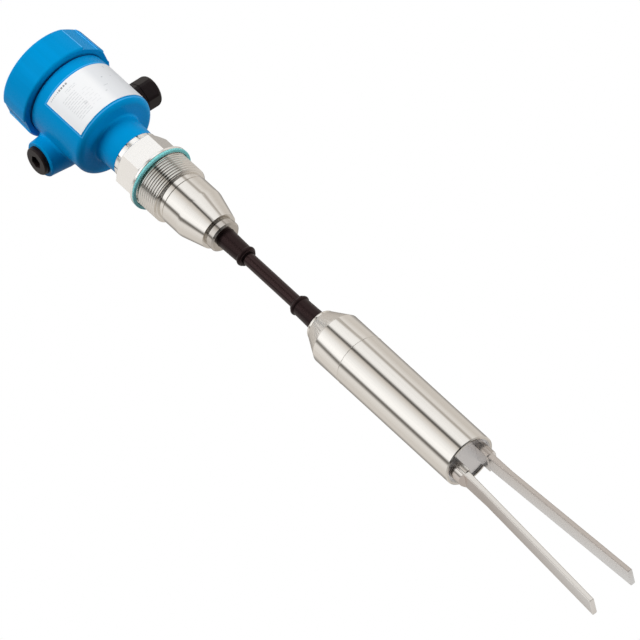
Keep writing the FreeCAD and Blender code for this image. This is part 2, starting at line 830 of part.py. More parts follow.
def make_module():
    body = turned("electronics_module", [
        ("0", "module_base"),
        ("module_column_r", "module_base"),
        ("module_column_r", "post_top"),
        ("module_flange_r", "post_top"),
        ("module_flange_r", "module_top"),
        ("0", "module_top"),
    ])
    flats = sketch_on(body, "module_flats", "XY_Plane", ("0", "0", "module_top"))
    rectangle(flats, "module_flat", "2 * module_flange_r", "-module_flange_r", "module_flange_r")
    rectangle(flats, "-2 * module_flange_r", "-module_flat", "-module_flange_r", "module_flange_r")
    extrude(body, flats, "module_top - module_base", cut=True)
    holes = sketch_on(body, "module_holes", "XY_Plane", ("0", "0", "module_top"))
    for side in ("", "-"):
        circle(holes, "0", side + "post_spread", "module_screw_r + module_screw_gap")
    extrude(body, holes, "module_flange_thick", cut=True)
    stem = sketch_on(body, "dial_hole", "XY_Plane", ("0", "0", "module_top"))
    circle(stem, "dial_x", "dial_y", "dial_stem_r + dial_gap")
    extrude(body, stem, "dial_stem_length + dial_gap", cut=True)
    node(body, "electronics_module")

    screws = []
    for number, side in enumerate(("", "-"), start=1):
        y = side + "post_spread"
        shank = upright("module_shank", "module_screw_r", "module_screw_length",
                        ("0", y, "module_top - module_screw_length"))
        head = upright("module_head", "module_screw_head_r", "module_screw_head_height", ("0", y, "module_top"))
        whole = doc.addObject("Part::Fuse", "module_screw")
        whole.Base = shank
        whole.Tool = head
        slot = block("module_slot", ("-module_screw_head_r", y + " - module_screw_slot / 2",
                                     "module_top + module_screw_head_height / 2"),
                     ("2 * module_screw_head_r", "module_screw_slot", "module_screw_head_height"))
        screws.append(cut("module_screw_%d" % number, whole, [slot]))
    group("module_screws", screws)


make_module()


def make_terminals():
    low_x = "-terminal_length / 2"
    base = block("terminal_base", (low_x, "terminal_front", "module_top"),
                 ("terminal_length", "terminal_depth", "terminal_height"))
    top = "module_top + terminal_height"
    floor = "module_top + terminal_mouth_floor"
    wells = []
    screws = []
    clamps = []
    for k in range(int(value("terminal_count"))):
        x = "(%d - (terminal_count - 1) / 2) * terminal_pitch" % k
        y = "terminal_front + clamp_setback + clamp_length / 2"
        wells.append(upright("well", "terminal_well_r", "terminal_well_depth + 1",
                             (x, y, top + " - terminal_well_depth")))
        wells.append(block("mouth", (x + " - terminal_mouth / 2", "terminal_front - 1", floor),
                           ("terminal_mouth", "terminal_mouth_depth + 1", "terminal_mouth")))
        shank = upright("terminal_screw", "terminal_screw_r", "terminal_screw_height",
                        (x, y, top + " - terminal_well_depth"))
        slot = block("terminal_slot", (x + " - terminal_screw_r", y + " - terminal_screw_slot / 2",
                                       top + " - terminal_well_depth + terminal_screw_height * 0.7"),
                     ("2 * terminal_screw_r", "terminal_screw_slot", "terminal_screw_height"))
        screws.append(cut("terminal_screw_%d" % k, shank, [slot]))
        clamps.append(block("clamp", (x + " - terminal_mouth / 2 + clamp_gap", "terminal_front + clamp_setback", floor),
                            ("terminal_mouth - 2 * clamp_gap", "clamp_length",
                             "terminal_height - terminal_well_depth - terminal_mouth_floor - clamp_gap")))
    node(cut("terminal_body", base, wells), "terminal_block")
    group("terminal_screws", screws)
    group("terminal_clamps", clamps)


make_terminals()


def make_switches():
    base = block("switch_base", ("switch_left", "switch_front", "module_top"),
                 ("switch_width", "switch_depth", "switch_height"))
    slot_front = "switch_front + (switch_depth - switch_slot_length) / 2"
    slot_floor = "module_top + switch_height - switch_slot_depth"
    slots = []
    for label, side in (("failsafe_slider", "-"), ("density_slider", "+")):
        x = "switch_left + switch_width / 2 %s switch_slot_spacing / 2 - switch_slot_width / 2" % side
        slots.append(block("switch_slot", (x, slot_front, slot_floor),
                           ("switch_slot_width", "switch_slot_length", "switch_slot_depth + 1")))
        slider = block(label, (x + " + slider_gap", slot_front + " + slider_gap", slot_floor + " + slider_gap"),
                       ("switch_slot_width - 2 * slider_gap", "slider_length",
                        "switch_slot_depth - slider_gap + slider_stand"))
        node(slider, label)
    node(cut("switch_body", base, slots), "switch_frame")


make_switches()


def make_dial():
    stem = upright("dial_stem", "dial_stem_r", "dial_stem_length + dial_gap",
                   ("dial_x", "dial_y", "module_top - dial_stem_length"))
    head = upright("dial_head", "dial_r", "dial_height", ("dial_x", "dial_y", "module_top + dial_gap"))
    whole = doc.addObject("Part::Fuse", "dial_whole")
    whole.Base = stem
    whole.Tool = head
    slot = block("dial_slot", ("dial_x - dial_r / 2", "dial_y - dial_slot_width / 2",
                               "module_top + dial_gap + dial_height - dial_slot_depth"),
                 ("2 * dial_r", "dial_slot_width", "dial_slot_depth + 1"))
    node(cut("dial_cut", whole, [slot]), "adjust_dial")


make_dial()


def make_lamp(label, x):
    stem = upright(label + "_stem", "lamp_r", "lamp_stem", (x, "lamp_y", "module_top"))
    dome = doc.addObject("Part::Sphere", label + "_dome")
    bind(dome, Radius="lamp_r")
    bind(dome, Placement__Base__x=x, Placement__Base__y="lamp_y", Placement__Base__z="module_top + lamp_stem")
    dome.Angle1 = 0
    whole = doc.addObject("Part::Fuse", label + "_whole")
    whole.Base = stem
    whole.Tool = dome
    node(whole, label)


make_lamp("green_lamp", "-lamp_x")
make_lamp("red_lamp", "lamp_x")
node(upright("cable_plug_body", "cable_plug_r", "cable_plug_length", ("0", "0", "cable_top")), "cable_plug")

# Cone body that carries the cable under the thread


def make_cone_body():
    body = turned("cone_body", [
        ("clamp_bore_r", "thread_end + cone_spigot_length"),
        ("cone_spigot_r", "thread_end + cone_spigot_length"),
        ("cone_spigot_r", "thread_end"),
        ("cone_relief_r", "thread_end"),
        ("cone_relief_r", "cone_shoulder"),
        ("cone_r - cone_edge", "cone_shoulder"),
        ("cone_r", "cone_shoulder - cone_edge"),
        ("cone_r", "cone_kink"),
        ("cone_end_r", "cone_end"),
        ("collar_spigot_r + collar_socket_gap", "cone_end"),
        ("collar_spigot_r + collar_socket_gap", "upper_flange_top"),
        ("ledge_bore_r", "upper_flange_top"),
        ("ledge_bore_r", "upper_ledge_top"),
        ("clamp_bore_r", "upper_ledge_top"),
    ])
    kink = ring_edges(body.Shape, value("cone_r"), value("cone_kink"))
    round_edges(body, kink, "cone_kink_fillet")
    node(body, "cone_body")


make_cone_body()


def make_clamp(label, base, top):
    node(tube(label, "cable_r + sleeve_bore_gap", "clamp_bore_r - clamp_fit", base, top), label)


make_clamp("upper_clamp", "upper_ledge_top", "upper_clamp_top")
make_clamp("lower_clamp", "lower_clamp_base", "lower_ledge_base")

node(turned("upper_collar", [
    ("sleeve_root_r + collar_bore_gap", "upper_flange_base"),
    ("collar_spigot_r", "upper_flange_base"),
    ("collar_spigot_r", "cone_end"),
    ("collar_groove_r", "cone_end"),
    ("collar_groove_r", "upper_collar_top"),
    ("upper_collar_r - collar_edge / 2", "upper_collar_top"),
    ("upper_collar_r", "upper_collar_top - collar_edge / 2"),
    ("upper_collar_r", "upper_collar_end + collar_edge"),
    ("upper_collar_r - collar_edge", "upper_collar_end"),
    ("sleeve_root_r + collar_bore_gap", "upper_collar_end"),
]), "upper_collar")
node(turned("lower_collar", [
    ("sleeve_root_r + collar_bore_gap", "lower_flange_top"),
    ("collar_spigot_r", "lower_flange_top"),
    ("collar_spigot_r", "cap_top"),
    ("lower_collar_r", "cap_top"),
    ("lower_collar_r", "lower_collar_top - collar_edge"),
    ("lower_collar_r - collar_edge", "lower_collar_top"),
    ("sleeve_root_r + collar_bore_gap", "lower_collar_top"),
]), "lower_collar")


def make_sleeve(label, flange_outer, flange_inner, mouth, tip, sign):
    """Bend relief from its hidden flange through the collar's mouth to the beaded tip."""
    body = turned(label, [
        ("0", flange_outer),
        ("sleeve_flange_r", flange_outer),
        ("sleeve_flange_r", flange_inner),
        ("sleeve_root_r", flange_inner),
        ("sleeve_root_r", mouth),
        ("sleeve_tip_r", tip),
        ("0", tip),
    ])
    bead = sketch_on(body, label + "_bead", "XZ_Plane")
    circle(bead, "bead_centre_r", "%s %s bead_setback" % (tip, sign), "bead_section_r")
    revolve(body, bead)
    bore = sketch_on(body, label + "_bore", "XZ_Plane")
    rectangle(bore, "0", "cable_r + sleeve_bore_gap", tip, flange_outer)
    revolve(body, bore, cut=True)
    node(body, label)


make_sleeve("upper_sleeve", "upper_flange_top", "upper_flange_base", "upper_collar_end", "upper_sleeve_end", "+")
make_sleeve("lower_sleeve", "lower_flange_base", "lower_flange_top", "lower_collar_top", "lower_sleeve_end", "-")
node(upright("cable_run", "cable_r", "cable_top - cable_end", ("0", "0", "cable_end")), "suspension_cable")

# Sensor tube: turned cap above the weld, tube below it, recessed diaphragm

node(turned("tube_cap", [
    ("collar_spigot_r + collar_socket_gap", "cap_top"),
    ("shoulder_top_r", "cap_top"),
    ("tube_r", "shoulder_base"),
    ("tube_r", "weld_z"),
    ("tube_bore_r - register_gap", "weld_z"),
    ("tube_bore_r - register_gap", "weld_z - cap_register_length"),
    ("tube_bore_r - register_gap - cap_register_wall", "weld_z - cap_register_length"),
    ("tube_bore_r - register_gap - cap_register_wall", "lower_clamp_base"),
    ("clamp_bore_r", "lower_clamp_base"),
    ("clamp_bore_r", "lower_ledge_base"),
    ("ledge_bore_r", "lower_ledge_base"),
    ("ledge_bore_r", "lower_flange_base"),
    ("collar_spigot_r + collar_socket_gap", "lower_flange_base"),
]), "tube_cap")

node(turned("sensor_tube", [
    ("tube_bore_r", "weld_z"),
    ("tube_r", "weld_z"),
    ("tube_r", "tube_end + tube_edge"),
    ("tube_r - tube_edge", "tube_end"),
    ("tube_bore_r", "tube_end"),
    ("tube_bore_r", "diaphragm_back"),
    ("tube_ledge_r", "diaphragm_back"),
    ("tube_ledge_r", "diaphragm_back + tube_ledge_height"),
    ("tube_bore_r", "diaphragm_back + tube_ledge_height"),
]), "sensor_tube")

node(turned("diaphragm", [
    ("0", "diaphragm_back"),
    ("tube_bore_r - diaphragm_gap", "diaphragm_back"),
    ("tube_bore_r - diaphragm_gap", "diaphragm_face"),
    ("diaphragm_groove_r", "diaphragm_face"),
    ("diaphragm_groove_r", "diaphragm_face + diaphragm_groove_depth"),
    ("diaphragm_groove_r - diaphragm_groove_width", "diaphragm_face + diaphragm_groove_depth"),
    ("diaphragm_groove_r - diaphragm_groove_width", "diaphragm_face"),
    ("0", "diaphragm_face"),
]), "diaphragm")

# Fork: each tine is a half-round root with a sloped end, and a flat blade that leans outwards


def make_tine(label, turn):
    body = new_body(label)
    root = sketch_on(body, label + "_root", "XY_Plane", ("0", "0", "diaphragm_face"))
    circle(root, "tine_flat", "0", "root_r")
    extrude(body, root, "root_height", reverse=True)
    inner = sketch_on(body, label + "_inner", "XY_Plane", ("0", "0", "diaphragm_face"))
    rectangle(inner, "tine_flat - 2 * root_r", "tine_flat", "-2 * root_r", "2 * root_r")
    extrude(body, inner, "2 * root_height", cut=True)
    slope = sketch_on(body, label + "_slope", "XZ_Plane")
    beyond = "tine_flat + root_r"
    fall = "(root_height - root_outer_height) / (%s - root_slope_start)" % beyond
    outline(slope, [
        ("root_slope_start", "diaphragm_face - root_height"),
        (beyond + " + 1", "diaphragm_face - root_outer_height + " + fall),
        (beyond + " + 1", "diaphragm_face - 2 * root_height"),
        ("root_slope_start", "diaphragm_face - 2 * root_height"),
    ])
    extrude(body, slope, "4 * root_r", cut=True, symmetric=True)
    lean = "tan(tine_splay_angle)"
    blade = sketch_on(body, label + "_blade", "XZ_Plane")
    outline(blade, [
        ("tine_flat", "diaphragm_face"),
        ("tine_flat + tine_length * " + lean, "tine_tip"),
        ("tine_flat + tine_thick + tine_length * " + lean, "tine_tip"),
        ("tine_flat + tine_thick + tine_root_taper_length * " + lean, "diaphragm_face - tine_root_taper_length"),
        ("tine_flat + tine_root_thick", "diaphragm_face"),
    ])
    extrude(body, blade, "tine_width", symmetric=True)
    body.Placement = FreeCAD.Placement(FreeCAD.Vector(), FreeCAD.Rotation(FreeCAD.Vector(0, 0, 1), turn))
    node(body, label)


make_tine("right_tine", value("fork_turn_angle"))
make_tine("left_tine", value("fork_turn_angle + 180"))

# Drive stack: stud on the diaphragm, pressure piece, insulated piezo rings, spring washer and nut

node(upright("drive_stud_rod", "stud_r", "stud_length", ("0", "0", "diaphragm_back")), "drive_stud")
node(turned("pressure_piece", [
    ("stack_bore_r", "pressure_top"),
    ("pressure_foot_r", "pressure_top"),
    ("pressure_foot_r", "diaphragm_back"),
    ("pressure_foot_r - pressure_foot_wall", "diaphragm_back"),
    ("pressure_foot_r - pressure_foot_wall", "pressure_top - pressure_plate"),
    ("stack_bore_r", "pressure_top - pressure_plate"),
]), "pressure_piece")


def make_stack():
    """Washer, then contacts and piezo rings in turn, then a washer, each lying on the one below."""
    count = int(value("piezo_count"))
    members = {"insulating_washers": [], "contact_discs": [], "piezo_rings": []}
    order = [("insulating_washers", "washer_r", "washer_thick")]
    for k in range(count):
        order.append(("contact_discs", "contact_r", "contact_thick"))
        order.append(("piezo_rings", "piezo_r", "piezo_thick"))
    order.append(("contact_discs", "contact_r", "contact_thick"))
    order.append(("insulating_washers", "washer_r", "washer_thick"))
    base = "pressure_top"
    for number, (label, radius, thick) in enumerate(order):
        top = base + " + " + thick
        members[label].append(tube("stack_%d" % number, "stack_bore_r", radius, base, top))
        base = top
    for label, discs in members.items():
        group(label, discs)
    node(tube("spring_washer", "stack_bore_r", "washer_r - washer_thick", base, base + " + spring_thick"),
         "spring_washer")
    nut = new_body("drive_nut")
    section = sketch_on(nut, "drive_nut_section", "XY_Plane", ("0", "0", base + " + spring_thick"))
    hexagon(section, "nut_across")
    circle(section, "0", "0", "stack_bore_r")
    extrude(nut, section, "nut_height")
    node(nut, "drive_nut")


make_stack()

# Every feature has to be sound before anything is written
doc.recompute()
for thing in doc.Objects:
    if "Invalid" in thing.State or "Error" in thing.State:
        raise RuntimeError(thing.Name + " failed: " + ", ".join(thing.State))
for thing in nodes:
    shape = thing.Shape
    if shape.isNull() or not shape.isValid() or not shape.Solids:
        raise RuntimeError(thing.Label + " has no sound solid")

os.makedirs("parts", exist_ok=True)
for thing in nodes:
    thing.Shape.exportStep("parts/%s.step" % thing.Label)
    print("%-20s %2d solid  %10.1f mm3" % (thing.Label, len(thing.Shape.Solids), thing.Shape.Volume))
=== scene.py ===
import json
import math

import bpy
from mathutils import Matrix, Vector

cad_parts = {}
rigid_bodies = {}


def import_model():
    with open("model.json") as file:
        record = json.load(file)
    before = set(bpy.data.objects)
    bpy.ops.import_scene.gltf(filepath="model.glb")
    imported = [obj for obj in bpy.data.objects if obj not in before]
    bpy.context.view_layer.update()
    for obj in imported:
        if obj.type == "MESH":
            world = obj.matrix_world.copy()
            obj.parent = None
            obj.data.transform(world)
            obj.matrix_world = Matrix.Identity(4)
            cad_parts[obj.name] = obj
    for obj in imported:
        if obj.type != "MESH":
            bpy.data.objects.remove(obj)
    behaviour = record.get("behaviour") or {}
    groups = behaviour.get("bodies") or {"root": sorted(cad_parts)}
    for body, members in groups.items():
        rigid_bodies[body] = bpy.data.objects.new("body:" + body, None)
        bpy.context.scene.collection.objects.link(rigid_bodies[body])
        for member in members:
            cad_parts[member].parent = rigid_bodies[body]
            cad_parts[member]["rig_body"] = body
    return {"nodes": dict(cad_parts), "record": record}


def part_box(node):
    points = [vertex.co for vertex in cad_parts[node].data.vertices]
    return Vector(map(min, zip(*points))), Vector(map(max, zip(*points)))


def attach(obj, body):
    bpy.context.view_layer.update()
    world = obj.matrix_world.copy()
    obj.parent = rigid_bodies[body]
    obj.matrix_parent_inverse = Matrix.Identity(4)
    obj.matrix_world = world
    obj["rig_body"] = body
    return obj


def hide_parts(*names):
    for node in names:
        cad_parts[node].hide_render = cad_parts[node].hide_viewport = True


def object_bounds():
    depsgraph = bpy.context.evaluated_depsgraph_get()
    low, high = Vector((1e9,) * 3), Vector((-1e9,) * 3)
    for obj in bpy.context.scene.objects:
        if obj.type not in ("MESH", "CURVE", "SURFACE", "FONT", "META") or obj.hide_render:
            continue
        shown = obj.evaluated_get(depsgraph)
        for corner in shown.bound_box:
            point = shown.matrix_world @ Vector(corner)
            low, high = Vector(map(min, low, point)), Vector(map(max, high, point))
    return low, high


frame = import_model()
nodes = frame["nodes"]
cad_low, cad_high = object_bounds()
scene = bpy.context.scene
scene.view_settings.view_transform = "Standard"

MM = 0.001
ORIGIN = (0, 0, 0)
FULL_TURN = 360
HALF_TURN = 180

# Limits for merging and rounding: metres, degrees and counts
MERGE_REACH = 1e-6
FLAT_ANGLE = 0.5
SHARP_ANGLE = 32
RING_ANGLE = 60
ROUND_ANGLE = 80
EASE_SEGMENTS = 2

# Helpers for meshes


def deselect():
    bpy.ops.object.select_all(action="DESELECT")


def pick(obj):
    deselect()
    obj.select_set(True)
    bpy.context.view_layer.objects.active = obj


def edit(obj):
    """Enter edit mode on one object with everything selected."""
    pick(obj)
    bpy.ops.object.mode_set(mode="EDIT")
    bpy.ops.mesh.select_all(action="SELECT")


def leave():
    bpy.ops.object.mode_set(mode="OBJECT")


def clear_choice(obj, kind):
    """Select nothing on one object, and set whether vertices or edges are chosen next."""
    edit(obj)
    bpy.ops.mesh.select_mode(type=kind)
    bpy.ops.mesh.select_all(action="DESELECT")
    leave()


def choose(obj, wanted):
    """Select the vertices for which wanted(place) holds, and enter edit mode."""
    clear_choice(obj, "VERT")
    for vertex in obj.data.vertices:
        vertex.select = wanted(vertex.co)
    bpy.ops.object.mode_set(mode="EDIT")


def choose_edges(obj, wanted):
    """Select the edges for which wanted(line, start, end) holds, and enter edit mode."""
    clear_choice(obj, "EDGE")
    for line in obj.data.edges:
        start, end = [obj.data.vertices[number].co for number in line.vertices]
        line.select = wanted(line, start, end)
    bpy.ops.object.mode_set(mode="EDIT")


def copy_of(node, name):
    """A merged copy of a solid's mesh under a new name, with its flat faces whole again."""
    made = bpy.data.objects.new(name, nodes[node].data.copy())
    scene.collection.objects.link(made)
    pick(made)
    bpy.ops.mesh.customdata_custom_splitnormals_clear()
    edit(made)
    bpy.ops.mesh.remove_doubles(threshold=MERGE_REACH)
    bpy.ops.mesh.dissolve_limited(angle_limit=math.radians(FLAT_ANGLE))
    leave()
    return made


def added(name):
    """Name the primitive that was just added and make its mesh stand at the origin."""
    made = bpy.context.active_object
    made.name = name
    bpy.ops.object.transform_apply(location=True, rotation=True, scale=True)
    return made


def apply_modifiers(obj):
    pick(obj)
    for modifier in list(obj.modifiers):
        bpy.ops.object.modifier_apply(modifier=modifier.name)


def smooth(obj, degrees):
    pick(obj)
    bpy.ops.object.shade_smooth_by_angle(angle=math.radians(degrees))


def ease(obj, width):
    """Round off an object's sharp edges a little."""
    soften = obj.modifiers.new("soften", "BEVEL")
    soften.limit_method = "ANGLE"
    soften.angle_limit = math.radians(SHARP_ANGLE)
    soften.width = width
    soften.segments = EASE_SEGMENTS
    level = obj.modifiers.new("level", "WEIGHTED_NORMAL")
    level.keep_sharp = True
    smooth(obj, SHARP_ANGLE)
    apply_modifiers(obj)


def join(target, other):
    pick(target)
    other.select_set(True)
    bpy.ops.object.join()


def radius(place):
    return math.hypot(place.x, place.y)


def paint(obj, material):
    obj.data.materials.clear()
    obj.data.materials.append(material)


def finish_piece(obj, body, slot, *replaced, look=None):
    """Give a piece its material, by its look or else its slot, put it on its body, and hide the solids it
    stands for.
    """
    paint(obj, LOOKS[look or slot])
    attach(obj, body)
    if replaced:
        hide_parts(*replaced)


# Helpers for shader nodes

FLOAT = "NodeSocketFloat"
VECTOR = "NodeSocketVector"


def calc(tree, operation, *values):
    """One math node, fed with sockets or plain numbers."""
    step = tree.nodes.new("ShaderNodeMath")
    step.operation = operation
    for slot, value in zip(step.inputs, values):
        if isinstance(value, (int, float)):
            slot.default_value = value
        else:
            tree.links.new(value, slot)
    return step.outputs[0]


def clamped(tree, value):
    return calc(tree, "MINIMUM", calc(tree, "MAXIMUM", value, 0.0), 1.0)


def split(tree, vector):
    """The three parts of a vector socket."""
    parts = tree.nodes.new("ShaderNodeSeparateXYZ")
    tree.links.new(vector, parts.inputs[0])
    return parts.outputs["X"], parts.outputs["Y"], parts.outputs["Z"]


def surface(tree, kind="Object"):
    """Object coordinates, or the object's own normal, on the surface."""
    return tree.nodes.new("ShaderNodeTexCoord").outputs[kind]


def map_range(tree, value, start, end, low, high, interpolation="LINEAR"):
    """A value's stretch from start to end, mapped to low and high and held there beyond it."""
    span = tree.nodes.new("ShaderNodeMapRange")
    span.interpolation_type = interpolation
    span.inputs["From Min"].default_value = start
    span.inputs["From Max"].default_value = end
    span.inputs["To Min"].default_value = low
    span.inputs["To Max"].default_value = high
    tree.links.new(value, span.inputs["Value"])
    return span.outputs["Result"]


def mix_values(tree, factor, first, second):
    mix = tree.nodes.new("ShaderNodeMix")
    tree.links.new(factor, mix.inputs["Factor"])
    tree.links.new(first, mix.inputs["A"])
    tree.links.new(second, mix.inputs["B"])
    return mix.outputs["Result"]


def mix_colours(tree, factor, first, second):
    """Colour between two colours, each given as numbers or as a socket."""
    mix = tree.nodes.new("ShaderNodeMix")
    mix.data_type = "RGBA"
    tree.links.new(factor, mix.inputs["Factor"])
    for name, colour in (("A", first), ("B", second)):
        if isinstance(colour, tuple):
            mix.inputs[name].default_value = (*colour, 1.0)
        else:
            tree.links.new(colour, mix.inputs[name])
    return mix.outputs["Result"]


# Shader groups

STREAK_DETAIL = 4.0
GRAIN_DETAIL = 3.0


def new_group(name, inputs, outputs):
    """A shader group with inputs of a given kind and starting value, and plain values put out."""
    group = bpy.data.node_groups.new(name, "ShaderNodeTree")
    for label, kind, start in inputs:
        socket = group.interface.new_socket(name=label, in_out="INPUT", socket_type=kind)
        socket.default_value = start
    for label in outputs:
        group.interface.new_socket(name=label, in_out="OUTPUT", socket_type=FLOAT)
    return group, group.nodes.new("NodeGroupInput"), group.nodes.new("NodeGroupOutput")


def streak_group():
    """Fine streaks: noise stretched by the given scale, as a value round one half."""
    group, given, result = new_group("streaks", [("Scale", VECTOR, (1, 1, 1))], ["Streak"])
    stretch = group.nodes.new("ShaderNodeVectorMath")
    stretch.operation = "MULTIPLY"
    noise = group.nodes.new("ShaderNodeTexNoise")
    noise.inputs["Scale"].default_value = 1.0
    noise.inputs["Detail"].default_value = STREAK_DETAIL
    group.links.new(surface(group), stretch.inputs[0])
    group.links.new(given.outputs["Scale"], stretch.inputs[1])
    group.links.new(stretch.outputs["Vector"], noise.inputs["Vector"])
    group.links.new(noise.outputs["Fac"], result.inputs["Streak"])
    return group


def grain_group():
    """Moulded or cast grain: an even noise of one size."""
    group, given, result = new_group("grain", [("Size", FLOAT, 1.0)], ["Grain"])
    noise = group.nodes.new("ShaderNodeTexNoise")
    noise.inputs["Detail"].default_value = GRAIN_DETAIL
    group.links.new(surface(group), noise.inputs["Vector"])
    group.links.new(given.outputs["Size"], noise.inputs["Scale"])
    group.links.new(noise.outputs["Fac"], result.inputs["Grain"])
    return group


def height_group():
    """How far up a point lies between two heights, from 0 to 1."""
    group, given, result = new_group("height_share", [("Low", FLOAT, 0.0), ("High", FLOAT, 1.0)], ["Share"])
    z = split(group, surface(group))[2]
    above = calc(group, "SUBTRACT", z, given.outputs["Low"])
    whole = calc(group, "SUBTRACT", given.outputs["High"], given.outputs["Low"])
    group.links.new(clamped(group, calc(group, "DIVIDE", above, whole)), result.inputs["Share"])
    return group


# Label print, in millimetres along the label from its middle and up from its foot
LABEL_R = 34.8 * MM
LABEL_FOOT = 57.7 * MM
LABEL_LEFT = -33.7
LABEL_RIGHT = 34.5
LABEL_HIGH = 39.5
# Thin line round the label for a painted highlight: how far out it stands and how wide it is
LINE_STAND = 1.1
LINE_WIDTH = 0.8
# Painted shade on the label's right side: where it starts and where it is full
RIGHT_SHADE_START = 0.0
RIGHT_SHADE_FULL = 9.0
ROW_SHIFT = 0.37
PRINT_ROWS = [
    # left, right, low, high, row pitch, inked part of the row, dash pitch, dash share, strength
    (-31.0, -22.0, 36.3, 37.3, 40.0, 1.0, 1.6, 0.5, 0.35),
    (-22.0, -12.0, 36.1, 37.6, 40.0, 1.0, 2.3, 0.66, 0.7),
    (-18.0, -8.0, 30.4, 33.6, 1.6, 0.34, 4.1, 0.8, 0.2),
    (-25.0, -12.0, 5.0, 28.0, 2.1, 0.3, 4.7, 0.86, 0.2),
    (-10.5, -2.0, 6.0, 26.0, 2.6, 0.22, 6.3, 0.7, 0.1),
]
PRINT_MARKS = [
    # left, right, low, high, strength
    (-14.5, -11.5, 12.0, 15.0, 0.12),
    (10.6, 12.0, 24.4, 25.4, 0.3),
    (19.1, 20.3, 24.0, 25.0, 0.2),
    (6.4, 10.4, 16.4, 16.9, 0.25),
    (4.2, 5.8, 11.1, 12.0, 0.25),
    (21.4, 22.2, 34.2, 36.0, 0.3),
]


def label_place(group):
    """Millimetres along the label and up it."""
    x, y, z = split(group, surface(group))
    turn = calc(group, "ARCTAN2", x, calc(group, "MULTIPLY", y, -1))
    along = calc(group, "MULTIPLY", turn, LABEL_R / MM)
    up = calc(group, "DIVIDE", calc(group, "SUBTRACT", z, LABEL_FOOT), MM)
    return along, up


def inside(group, place, left, right, low, high):
    """Mask of an upright rectangle on the label."""
    along, up = place
    wide = calc(group, "COMPARE", along, (left + right) / 2, (right - left) / 2)
    tall = calc(group, "COMPARE", up, (low + high) / 2, (high - low) / 2)
    return calc(group, "MULTIPLY", wide, tall)


def print_group():
    """Label print: rows of dashes and a few marks, and painted shade that darkens the label's right side.
    """
    group, _, result = new_group("label_print", [], ["Ink", "RightShade"])
    place = label_place(group)
    along, up = place
    total = 0.0
    for left, right, low, high, row, row_share, pitch, share, ink in PRINT_ROWS:
        rows = calc(group, "DIVIDE", up, row)
        inked = calc(group, "LESS_THAN", calc(group, "FRACT", rows), row_share)
        shift = calc(group, "MULTIPLY", calc(group, "FLOOR", rows), ROW_SHIFT)
        steps = calc(group, "ADD", calc(group, "DIVIDE", along, pitch), shift)
        dashes = calc(group, "LESS_THAN", calc(group, "FRACT", steps), share)
        mask = calc(group, "MULTIPLY", inside(group, place, left, right, low, high), inked)
        mask = calc(group, "MULTIPLY", mask, dashes)
        total = calc(group, "ADD", total, calc(group, "MULTIPLY", mask, ink))
    for left, right, low, high, ink in PRINT_MARKS:
        mask = inside(group, place, left, right, low, high)
        total = calc(group, "ADD", total, calc(group, "MULTIPLY", mask, ink))
    right_shade = map_range(group, along, RIGHT_SHADE_START, RIGHT_SHADE_FULL, 0.0, 1.0, "SMOOTHSTEP")
    group.links.new(calc(group, "MINIMUM", total, 1.0), result.inputs["Ink"])
    group.links.new(right_shade, result.inputs["RightShade"])
    return group


def label_highlight_mask_group():
    """A thin line round the label's place on the bowl, as a mask for a painted highlight where the edge
    round the label catches the light.
    """
    group, _, result = new_group("label_highlight", [], ["Line"])
    place = label_place(group)
    masks = []
    for stand in (LINE_STAND + LINE_WIDTH, LINE_STAND):
        sides = (LABEL_LEFT - stand, LABEL_RIGHT + stand)
        masks.append(inside(group, place, *sides, -stand, LABEL_HIGH + stand))
    group.links.new(calc(group, "SUBTRACT", *masks), result.inputs["Line"])
    return group


STREAKS = streak_group()
GRAIN = grain_group()
HEIGHT = height_group()
PRINT = print_group()
LABEL_HIGHLIGHT = label_highlight_mask_group()

# Materials

# The middle of a noise, which is stretched over the range asked for
NOISE_LOW = 0.3
NOISE_HIGH = 0.7

# Streaks per metre across and along the piece
TURNED = (60, 60, 5000)
DRAWN = (2500, 2500, 12)
FINE = (1800, 1800, 1800)
LID_STREAKS = (220, 220, 6)

# Depths of bump
TURNED_DEPTH = 0.02 * MM
DRAWN_DEPTH = 0.01 * MM
GRAIN_DEPTH = 0.1 * MM
PAPER_DEPTH = 0.05 * MM

# Moulded grain, and the broad clouds that vary its colour
GRAIN_SIZE = 1500.0
CLOUD_SIZE = GRAIN_SIZE / 40
GRAIN_BUMP = 0.03
GRAIN_SPREAD = 0.04
CLOUD_VARY = 0.06
LID_VARY = 0.1
PLAIN_GLOSS = 0.5
NO_TINT = (1.0, 1.0, 1.0)

# Label paper
PAPER = (0.91, 0.885, 0.86)
# Painted shade on the label's right side
PAPER_RIGHT_SHADE = (0.78, 0.765, 0.755)
PAPER_INK = (0.04, 0.04, 0.045)
PAPER_ROUGH = 0.45
PAPER_SPREAD = 0.05
PAPER_GLOSS = 0.3
PAPER_GRAIN = 2500.0
PAPER_BUMP = 0.02

# Plastics and rubbers
BLACK = (0.012, 0.007, 0.007)
BROWN_SHEEN = (1.0, 0.6, 0.58)
BLUE = (0.0, 0.295, 0.64)
BLUE_SHEEN = (0.1, 0.7, 1.0)
BLUE_ROUGH = 0.28
BLUE_GLOSS = 0.06
# Painted highlight round the label
LABEL_HIGHLIGHT_BLUE = (0.06, 0.4, 0.78)
# Painted highlight: lighter blue on the lid's rounded grip edges
EDGE_HIGHLIGHT_BLUE = (0.12, 0.5, 0.9)
SHADOW_BLUE = (0.0, 0.03, 0.14)
# Name of the face mark that carries the painted highlight on the lid's edges
HIGHLIGHT_EDGE_MARK = "painted_highlight_edge"

# Steels
POLISHED_DARK = (0.76, 0.735, 0.695)
POLISHED = (0.82, 0.795, 0.755)
SATIN = (0.94, 0.925, 0.9)
SHOULDER_STEEL = (0.66, 0.63, 0.59)

